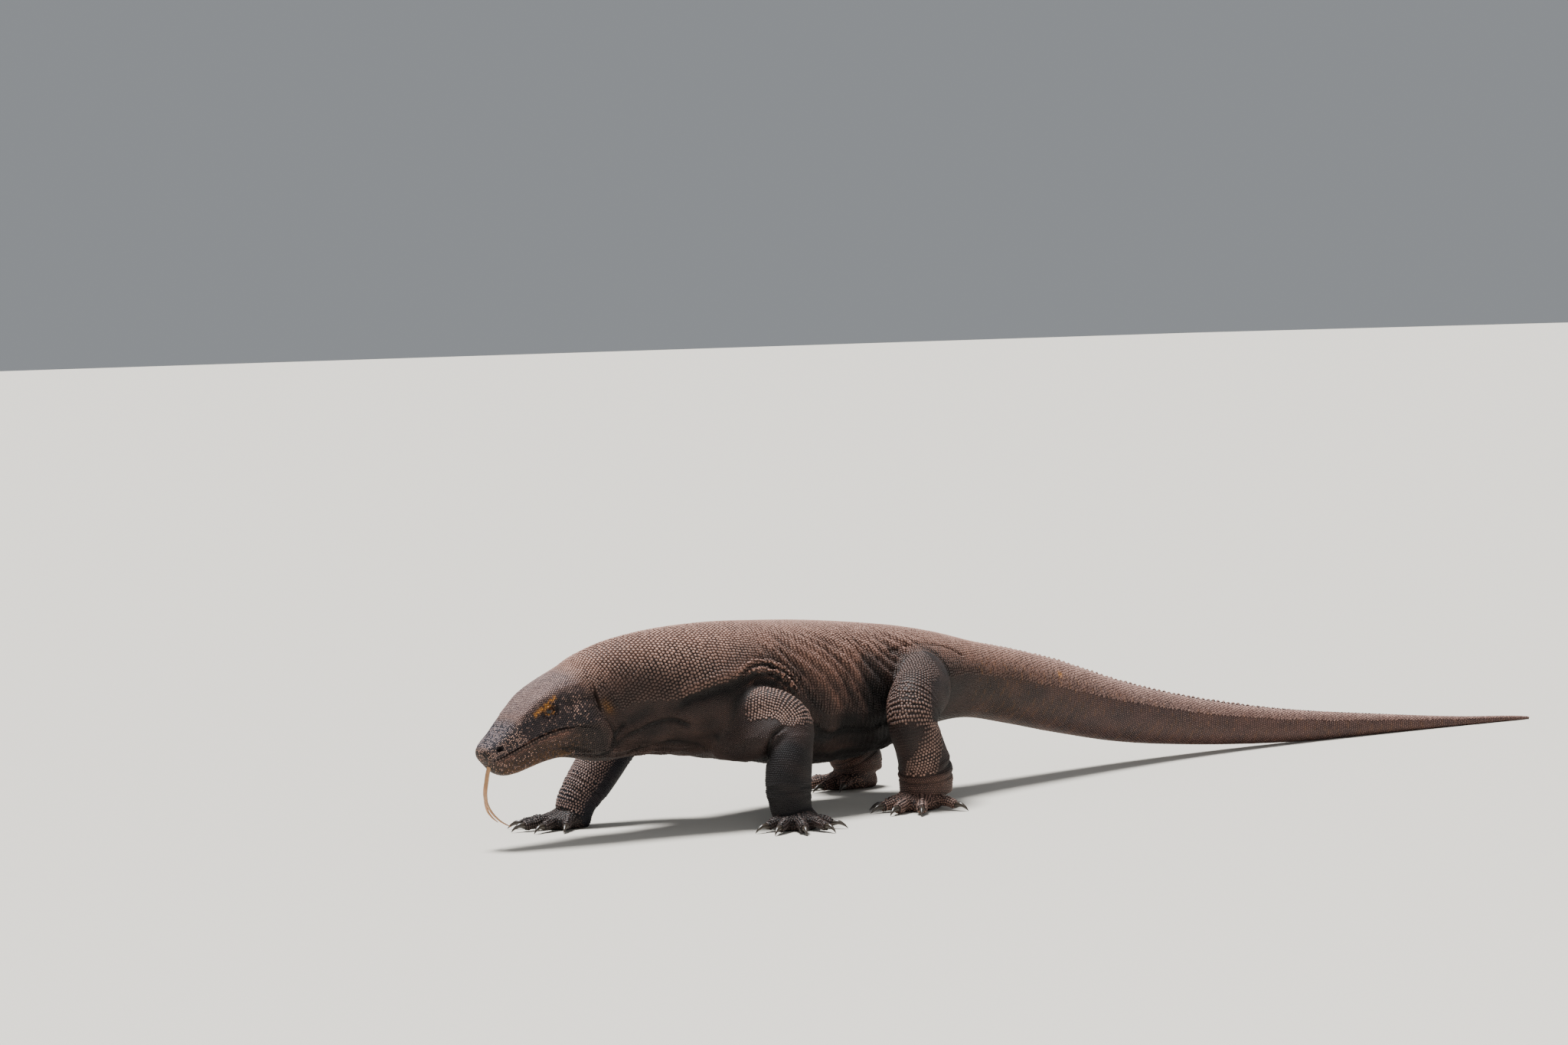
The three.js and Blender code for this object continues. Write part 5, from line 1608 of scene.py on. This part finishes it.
# Towards its end the tail turns blue-grey, a painted sheen of the sky, and paler, partly its own tone
# and partly painted light.
tail_end = step(w_seed, 21.8, 25.4) * on_body
seeds["blue"] += 0.16 * tail_end
seeds["pale"] += 0.42 * tail_end * (0.5 + spark)
FLECK_AT, FLECK_SIZE = [751, 10, 174], 5  # one ochre spot on the tail's left side
fleck = np.exp(-(np.linalg.norm(p_seed - FLECK_AT, axis=1) / FLECK_SIZE) ** 2)
seeds["ochre"] = np.clip(seeds["ochre"] + fleck, 0, 1)
patch = ragged(p_seed, np.array([38.0, 30, 24]))
seeds["dark"] = np.clip(seeds["dark"] + 0.14 * patch, 0, 1)
# In the hollows the pale tips are dimmed as painted shade.
seeds["pale"] = np.clip(seeds["pale"] * (1 + 0.22 * patch) * (1 - 0.8 * seeds["hollow"]), 0, 1)
MARKS = ("ochre", "blue", "dark", "pale", "hollow")
print({mark: round(float(seeds[mark].mean()), 2) for mark in MARKS})


# %% [markdown]
# Skin and scales share one colour: a ramp from red-brown to near black, by a spot's dark
# mark and broad patches of dust, then blue where marked as a painted reflection of the sky,
# ochre where marked, and darkened as painted shade in the hollows.

# %% The hide's colours
# Noise scales are counts in a metre: patches of dust 90 mm across, pits in the horn 1.1 mm,
# pores of the skin 2 mm, which is coarser than real ones so that they show.
DUST_PATCHES, HORN_PITS, SKIN_PORES = 11.0, 900.0, 500.0


def hide_colour(tree):
    """Nodes for the hide's colour, with its painted shade and painted sky reflection, shared by the
    skin and its scales.
    """
    where = add(tree, "ShaderNodeTexCoord").outputs["Object"]
    mark = {m: add(tree, "ShaderNodeAttribute", attribute_name=m).outputs["Fac"] for m in MARKS}
    patches = add(tree, "ShaderNodeTexNoise", {
        "Vector": where, "Scale": DUST_PATCHES, "Detail": 5.0, "Roughness": 0.65}).outputs["Fac"]
    level = add(tree, "ShaderNodeMath", {0: patches, 1: 0.4, 2: -0.2}, operation="MULTIPLY_ADD")
    level = add(tree, "ShaderNodeMath", {0: mark["dark"], 1: level.outputs[0]}, operation="ADD")
    ramp = add(tree, "ShaderNodeValToRGB", {0: level.outputs[0]})
    stops = ramp.color_ramp.elements
    stops[0].position, stops[0].color = 0.0, colour("#715044")
    stops[1].position, stops[1].color = 1.0, colour("#191413")
    middle = stops.new(0.5)
    middle.color = colour("#45332d")
    # The blue mark mixes in a painted reflection of the sky.
    blued = add(tree, "ShaderNodeMix", {"Factor": mark["blue"], 6: ramp.outputs[0],
                                        7: colour("#2c3450")}, data_type="RGBA")
    marked = add(tree, "ShaderNodeMix", {"Factor": mark["ochre"], 6: blued.outputs[2],
                                         7: colour("#c07f24")}, data_type="RGBA")
    # Painted shade: the hollow mark dims the colour to 0.22 of itself in folds and creases.
    light = add(tree, "ShaderNodeMapRange", {0: mark["hollow"], 3: 1.0, 4: 0.22})
    final = add(tree, "ShaderNodeVectorMath", {0: marked.outputs[2], "Scale": light.outputs[0]},
                operation="SCALE")
    return final.outputs[0], mark["pale"], mark["blue"], where


# %% [markdown]
# A scale is horn that grew in place and was partly rubbed by years of dry ground. Its crown
# is painted pale, partly wear and partly a painted highlight, and its rim is darkened as
# painted shade, so each bead reads as round. Polished horn would shine at an index of 1.55;
# dust takes part of that, so the shine here is broad and weak.

# %% Horn with a painted highlight and shade, and the dark skin between
def roughen(tree, shader, where, per_metre, detail, strength, depth):
    """Fine relief, with its depth in metres."""
    grain = add(tree, "ShaderNodeTexNoise", {"Vector": where, "Scale": per_metre, "Detail": detail})
    relief = add(tree, "ShaderNodeBump", {"Height": grain.outputs["Fac"], "Strength": strength,
                                          "Distance": depth})
    tree.links.new(relief.outputs[0], shader.inputs["Normal"])


def horn_scale_material():
    made, tree, shader = new_material("horn scales with painted highlights")
    base, pale, blue, where = hide_colour(tree)
    crown = add(tree, "ShaderNodeAttribute", attribute_name="crown").outputs["Fac"]
    tone = add(tree, "ShaderNodeAttribute", attribute_name="tone").outputs["Fac"]
    # Painted highlight, partly wear: the crown turns towards a pale tip by the pale mark.
    wear_and_highlight = add(tree, "ShaderNodeMapRange", {0: crown, 1: 0.6, 2: 0.95, 3: 0.0, 4: 0.95})
    wear_and_highlight = add(tree, "ShaderNodeMath", {0: wear_and_highlight.outputs[0], 1: pale}, operation="MULTIPLY")
    # Where the blue mark is, the pale tip turns grey, a painted reflection of the sky.
    tint = add(tree, "ShaderNodeMix", {"Factor": blue, 6: colour("#d2a592"),
                                       7: colour("#b4aeb0")}, data_type="RGBA")
    tip = add(tree, "ShaderNodeMix", {"Factor": wear_and_highlight.outputs[0], 6: base,
                                      7: tint.outputs[2]}, data_type="RGBA")
    # Painted shade: each bead is darkened towards its rim, where it meets the skin.
    rim = add(tree, "ShaderNodeMapRange", {0: crown, 1: 0.0, 2: 0.6, 3: 0.4, 4: 1.0})
    shade = add(tree, "ShaderNodeMath", {0: rim.outputs[0], 1: tone}, operation="MULTIPLY")
    final = add(tree, "ShaderNodeVectorMath", {0: tip.outputs[2], "Scale": shade.outputs[0]},
                operation="SCALE")
    tree.links.new(final.outputs[0], shader.inputs["Base Color"])
    shader.inputs["Roughness"].default_value = 0.5
    shader.inputs["Specular IOR Level"].default_value = 0.34
    roughen(tree, shader, where, HORN_PITS, 2.0, 0.25, 0.0004)
    return made


def skin_material():
    """Soft skin, never rubbed: darker than the horn, and matt."""
    made, tree, shader = new_material("dark skin between scales")
    base, _, _, where = hide_colour(tree)
    dark = add(tree, "ShaderNodeVectorMath", {0: base, "Scale": 0.45}, operation="SCALE")
    tree.links.new(dark.outputs[0], shader.inputs["Base Color"])
    shader.inputs["Roughness"].default_value = 0.6
    shader.inputs["Specular IOR Level"].default_value = 0.3
    roughen(tree, shader, where, SKIN_PORES, 4.0, 0.5, 0.0006)
    return made


scales_finish, skin_finish = horn_scale_material(), skin_material()
print(scales_finish.name, "and", skin_finish.name)


# %% [markdown]
# The skin takes its marks from the three nearest scales, so its colour runs on under them.

# %% Give the skin its finish and marks
def write_attribute(mesh, name, values):
    layer = mesh.attributes.new(name, "FLOAT", "POINT")
    layer.data.foreach_set("value", np.asarray(values, np.float32))


skin.data.materials.clear()
skin.data.materials.append(skin_finish)
tree = point_tree(seeds["p"])
nearest = np.array([[hit[1] for hit in tree.find_n(p, 3)] for p in place])
for mark in MARKS:
    write_attribute(skin.data, mark, seeds[mark][nearest].mean(1))
print(len(nearest), "points of skin marked")

# %% [markdown]
# One region's spots become loose points that carry size and turn. The tree sets the beads,
# which are kept as plain mesh, each with its marks, a tone of its own and its place on the
# colour sheet.

# %% Set the scales of one region
def turns(normal, tailward):
    """Euler angles that lay x along the body and z out of the skin."""
    z = normal / np.linalg.norm(normal, axis=1)[:, None]
    x = tailward - z * np.sum(tailward * z, axis=1)[:, None]
    x /= np.linalg.norm(x, axis=1)[:, None] + 1e-9
    y = np.cross(z, x)
    return np.stack([np.arctan2(y[:, 2], z[:, 2]), np.arcsin(np.clip(-x[:, 2], -1, 1)),
                     np.arctan2(x[:, 1], x[:, 0])], 1)


HEIGHT_SHARE = {"dome": 0.27, "keel": 0.27, "fine": 0.2}
BEAD_ON_SHEET = 0.003


def set_scales(name, chosen, squareness, width, height, seed, kind):
    n = len(chosen)
    spots_mesh = bpy.data.meshes.new(name + " spots")
    spots_mesh.from_pydata([tuple(p) for p in seeds["p"][chosen]], [], [])
    rise = np.minimum(seeds["a"][chosen], seeds["c"][chosen]) * HEIGHT_SHARE[kind]
    rise = np.where(seeds["high"][chosen] > 0, seeds["high"][chosen], rise)
    size = np.stack([seeds["a"][chosen], seeds["c"][chosen], rise], 1) / 1000
    turn_to = turns(seeds["n"][chosen], seeds["d"][chosen])
    for label, values in (("size", size), ("turn", turn_to)):
        layer = spots_mesh.attributes.new(label, "FLOAT_VECTOR", "POINT")
        layer.data.foreach_set("vector", values.astype(np.float32).ravel())
    holder = bpy.data.objects.new(name, spots_mesh)
    link(holder)
    bead = bead_mesh(name + " bead", squareness, kind)
    tree = scale_tree(bead, scales_finish)
    maker = holder.modifiers.new("scales", "NODES")
    maker.node_group = tree
    inputs = {item.name: item.identifier for item in tree.interface.items_tree
              if item.item_type == "SOCKET" and item.in_out == "INPUT"}
    for label, value in (("Width", width), ("Height", height), ("Seed", seed)):
        maker[inputs[label]] = value
    mesh = finished_mesh(holder)
    holder.modifiers.clear()
    holder.data = mesh
    mesh.name = name
    per = len(bead.data.vertices)
    # The crown share sets where the painted highlight and the painted rim shade fall.
    crown = [1.0] + [0.15] * 6 if kind == "fine" else [1.0] + [0.7] * 6 + [0.0] * 6
    write_attribute(mesh, "crown", np.tile(crown, n))
    write_attribute(mesh, "tone", np.repeat(chance.uniform(0.8, 1.2, n), per))
    for mark in MARKS:
        write_attribute(mesh, mark, np.repeat(seeds[mark][chosen], per))
    flat = np.array([v.co[:2] for v in bead.data.vertices]) * BEAD_ON_SHEET
    uv = np.repeat(seeds["uv"][chosen], per, axis=0) + np.tile(flat, (n, 1))
    loops = numbers(mesh.loops, "vertex_index", 1, np.int32).ravel()
    for old in list(mesh.uv_layers):
        mesh.uv_layers.remove(old)
    mesh.uv_layers.new(name="OFBake").data.foreach_set("uv", uv[loops].astype(np.float32).ravel())
    bpy.data.objects.remove(bead)
    return holder


# %% [markdown]
# ## Dressing the regions
# The scales are made region by region, so that each piece stays small enough to edit and
# can be told apart by name: head, neck, shoulders, flank, tail, legs, hands and feet.

# %% Make the scale pieces
# Squareness and height of the scales in each region, and the most scales in one piece.
SCALE_FORM = {"head": (0.6, 0.9), "neck": (0.3, 1.15), "shoulder": (0.4, 1.05),
              "flank": (0.5, 1.0), "tail_base": (0.6, 0.95), "tail": (0.9, 0.9),
              "leg": (0.4, 1.1), "toe": (0.5, 0.9), "crest": (0.2, 1.0), "lip": (0.6, 0.75)}
SCALE_WIDTH, FIRST_SEED = 0.97, 11
MOST = {"dome": 8900, "keel": 8900, "fine": 19500}
coats = []
for region_name, region in REGION.items():
    squareness, height = SCALE_FORM[region_name]
    for kind, label in (("dome", "beads"), ("fine", "fine_scales"), ("keel", "scutes")):
        right_size = (seeds["coarse"] > 0.5) == (kind != "fine")
        right_kind = (kind == "keel") == (region_name == "crest")
        chosen = np.nonzero((seeds["region"] == region) & right_size & right_kind)[0]
        parts = -(-len(chosen) // MOST[kind])
        for part in range(parts):
            piece_name = f"{region_name}_{label}" + (f"_{part + 1}" if parts > 1 else "")
            coats.append(set_scales(piece_name, chosen[part::parts], squareness, SCALE_WIDTH,
                                    height, FIRST_SEED + region, kind))
        if parts:
            print(region_name, label, len(chosen))


# %% [markdown]
# ## Eyes, claws and tongue
# The eye is a dark brown ball with a round pupil under a film of tears, which gives the
# eye one small sharp light. The iris is drawn by the angle from the way the eye looks.


# %% Eyes
LOOK_SIDE, LOOK_AHEAD = 0.93, 0.36


def eye_material():
    made, tree, shader = new_material("wet eye")
    around = add(tree, "ShaderNodeAttribute", attribute_name="iris").outputs["Fac"]
    ramp = add(tree, "ShaderNodeValToRGB", {0: around})
    stops = ramp.color_ramp.elements
    stops[0].position, stops[0].color = 0.36, colour("#070504")
    stops[1].position, stops[1].color = 0.42, colour("#4a2a12")
    edge = stops.new(0.78)
    edge.color = colour("#2a170b")
    tree.links.new(ramp.outputs[0], shader.inputs["Base Color"])
    shader.inputs["Roughness"].default_value = 0.12
    shader.inputs["Specular IOR Level"].default_value = 0.3
    return made


eye_finish = eye_material()
eyes = []
for name, sign in (("left_eyeball", 1), ("right_eyeball", -1)):
    work = bmesh.new()
    bmesh.ops.create_uvsphere(work, u_segments=48, v_segments=32, radius=EYE_RADIUS / 1000)
    centre = to_model(head_point(EYE_U, sign * EYE_SIDE, EYE_UP))
    outward = Vector(sign * SIDE * LOOK_SIDE + FORWARD * LOOK_AHEAD).normalized()
    turn_ball = outward.to_track_quat("Z", "Y").to_matrix()
    mesh = bpy.data.meshes.new(name)
    for v in work.verts:
        v.co = turn_ball @ v.co
    iris = [math.acos(max(-1, min(1, v.co.normalized().dot(outward)))) for v in work.verts]
    for v in work.verts:
        v.co += Vector(centre)
    for face in work.faces:
        face.smooth = True
    work.to_mesh(mesh)
    work.free()
    write_attribute(mesh, "iris", np.array(iris))
    ball = bpy.data.objects.new(name, mesh)
    ball.data.materials.append(eye_finish)
    link(ball)
    eyes.append(ball)
print(len(eyes), "eyeballs of", 2 * EYE_RADIUS, "mm")


# %% [markdown]
# Claws are hooked cones of black-brown horn, grown in layers and polished by the ground:
# streaks and a tight shine. Each is a short tube that bends down to a point.

# %% Claws
HORN_STREAKS = 220.0  # in a metre: streaks 4.5 mm apart


def two_tone(name, per_metre, dark, light, roughness):
    """A material whose colour wanders between two tones."""
    made, tree, shader = new_material(name)
    where = add(tree, "ShaderNodeTexCoord").outputs["Object"]
    noise = add(tree, "ShaderNodeTexNoise", {"Vector": where, "Scale": per_metre, "Detail": 3.0})
    ramp = add(tree, "ShaderNodeValToRGB", {0: noise.outputs["Fac"]})
    ramp.color_ramp.elements[0].color = colour(dark)
    ramp.color_ramp.elements[1].color = colour(light)
    tree.links.new(ramp.outputs[0], shader.inputs["Base Color"])
    shader.inputs["Roughness"].default_value = roughness
    return made, shader


claw_finish, _ = two_tone("polished dark horn", HORN_STREAKS, "#17130f", "#4b4239", 0.28)
claws = {}
for name, limb in LIMBS.items():
    foot = name.replace("_arm", "_hand").replace("_leg", "_foot")
    for i, (bearing, reach, thick) in enumerate(TOES[limb["toes"]]):
        _, root, ray = toe_line(limb, bearing, reach, thick)
        # Distance out, height, half width and half thickness, from root to point.
        stops = [(reach - 2, 9, thick * 0.56, thick * 0.5),
                 (reach + CLAW * 0.38, 10.4, thick * 0.42, 4.0),
                 (reach + CLAW * 0.75, 6.6, thick * 0.23, 2.2), (reach + CLAW, 1.2, 0.4, 0.4)]
        line = [[*(root + ray * d), z, a, b] for d, z, a, b in stops]
        piece = closed_grid(f"{foot}_nail_{i + 1}", to_model(
            tube_grid(line, TOE_FACING, 16, 12, inset=0.0)))
        shade_smooth(piece.data)
        piece.data.materials.append(claw_finish)
        claws[f"{foot}_claw_{i + 1}"] = piece
print(len(claws), "claws")


# %% [markdown]
# The tongue is a slim wet muscle, yellowish pink, forked over its lower half; light gets a
# little way into it. Stem and prongs are tubes, joined by a union so the fork has no seam.

# %% Tongue
TONGUE_BLOTCHES = 120.0  # in a metre: soft blotches 8 mm across
TONGUE_FACING = (0, 1, 0)


def tongue_stop(u, side, height, r):
    """A stop of the tongue's middle line, in the head's own frame."""
    return [*head_point(u, side, height), r * 1.1, min(r, 2.6)]


stem = [tongue_stop(180, 0, 22, 3.4), tongue_stop(196, 0, 19.5, 3.6),
        tongue_stop(208, 0, 9, 3.9), tongue_stop(219, 0, -4, 4.1),
        tongue_stop(228, 0, -16, 4.2), tongue_stop(233, 0, -27, 3.6)]
tongue_parts = [closed_grid("tongue", to_model(tube_grid(stem, TONGUE_FACING, 40, 18, inset=0)))]
for side, back, low in ((1, 9, 13), (-1, 0, 0)):
    prong = [tongue_stop(228.5, side * 0.8, -17, 2.2), tongue_stop(234, side * 1.8, -30, 2),
             tongue_stop(236 - back * 0.2, side * 3.4, -44 - low * 0.3, 1.8),
             tongue_stop(232.5 - back * 0.5, side * 5.4, -58 - low * 0.7, 1.3),
             tongue_stop(226 - back, side * 7.5, -71 - low, 0.6)]
    tongue_parts.append(closed_grid("prong", to_model(
        tube_grid(prong, TONGUE_FACING, 40, 14, inset=0))))
tongue = tongue_parts[0]
for prong in tongue_parts[1:]:
    fuse = tongue.modifiers.new("fuse", "BOOLEAN")
    fuse.operation, fuse.object, fuse.solver = "UNION", prong, "MANIFOLD"
fused = finished_mesh(tongue)
tongue.modifiers.clear()
tongue.data = fused
for prong in tongue_parts[1:]:
    bpy.data.objects.remove(prong)
shade_smooth(fused)
fused.materials.clear()
tongue_finish, shader = two_tone("moist tongue", TONGUE_BLOTCHES, "#9c6f4c", "#cda178", 0.3)
shader.inputs["Subsurface Weight"].default_value = 0.15
shader.inputs["Subsurface Scale"].default_value = 0.004
fused.materials.append(tongue_finish)
print("tongue", len(fused.polygons), "faces")

# %% [markdown]
# ## Fasten every piece to the model
# The model is still, so every piece rides on its one body. The skin stands for all the
# flesh, the balls for the eyes, and each nail for its claw.

# %% Ride and replace
flesh = [n for n in frame["nodes"] if "claw" not in n and "eye" not in n and n != "tongue"]
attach(skin, "root")
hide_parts(*flesh)
for coat in coats:
    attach(coat, "root")
for ball, node in zip(eyes, ("left_eye", "right_eye")):
    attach(ball, "root")
    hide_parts(node)
for node, piece in claws.items():
    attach(piece, "root")
    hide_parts(node)
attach(tongue, "root")
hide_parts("tongue")
print(len(flesh), "nodes of flesh stand behind the skin")

# %% [markdown]
# ## Floor and light
# Unglazed paper hardly shines, so the floor is an even pale ground. The top light is a wide
# sun with a soft shadow, and a disk of light from the front makes scales and eyes shine.

# %% Floor, lamps and sky
TOP_POWER, TOP_WIDTH, TOP_FROM = 7.3, math.radians(18), (-0.1, 0.7, 3.1)
FLOOR = 200  # metres from the middle to each edge
SQUARE = ((-1, -1), (1, -1), (1, 1), (-1, 1))
floor = mesh_object("floor", [(x * FLOOR, y * FLOOR, 0) for x, y in SQUARE], [(0, 1, 2, 3)])
paper, _, paper_shader = new_material("pale paper floor")
paper_shader.inputs["Base Color"].default_value = colour("#d9d4ca")
paper_shader.inputs["Roughness"].default_value = 0.9
floor.data.materials.append(paper)


def soft_lamp(name, at, aim, size, power):
    lamp = bpy.data.objects.new(name, bpy.data.lights.new(name, "AREA"))
    lamp.data.shape, lamp.data.size, lamp.data.energy = "DISK", size, power
    lamp.location = at
    lamp.rotation_euler = (Vector(aim) - Vector(at)).to_track_quat("-Z", "Y").to_euler()
    link(lamp)


top = bpy.data.objects.new("top light", bpy.data.lights.new("top light", "SUN"))
top.data.angle, top.data.energy = TOP_WIDTH, TOP_POWER
top.rotation_euler = Vector(TOP_FROM).to_track_quat("Z", "Y").to_euler()
link(top)
soft_lamp("front softbox", (-2.6, -3.2, 1.9), (-0.2, 0, 0.15), 2.2, 18)
sky = bpy.data.worlds.new("studio")
bpy.context.scene.world = sky
sky.use_nodes = True
background = sky.node_tree.nodes["Background"]
background.inputs["Color"].default_value = colour("#dfe4ea")
background.inputs["Strength"].default_value = 0.37
print(len(bpy.data.lights), "lights and a sky")
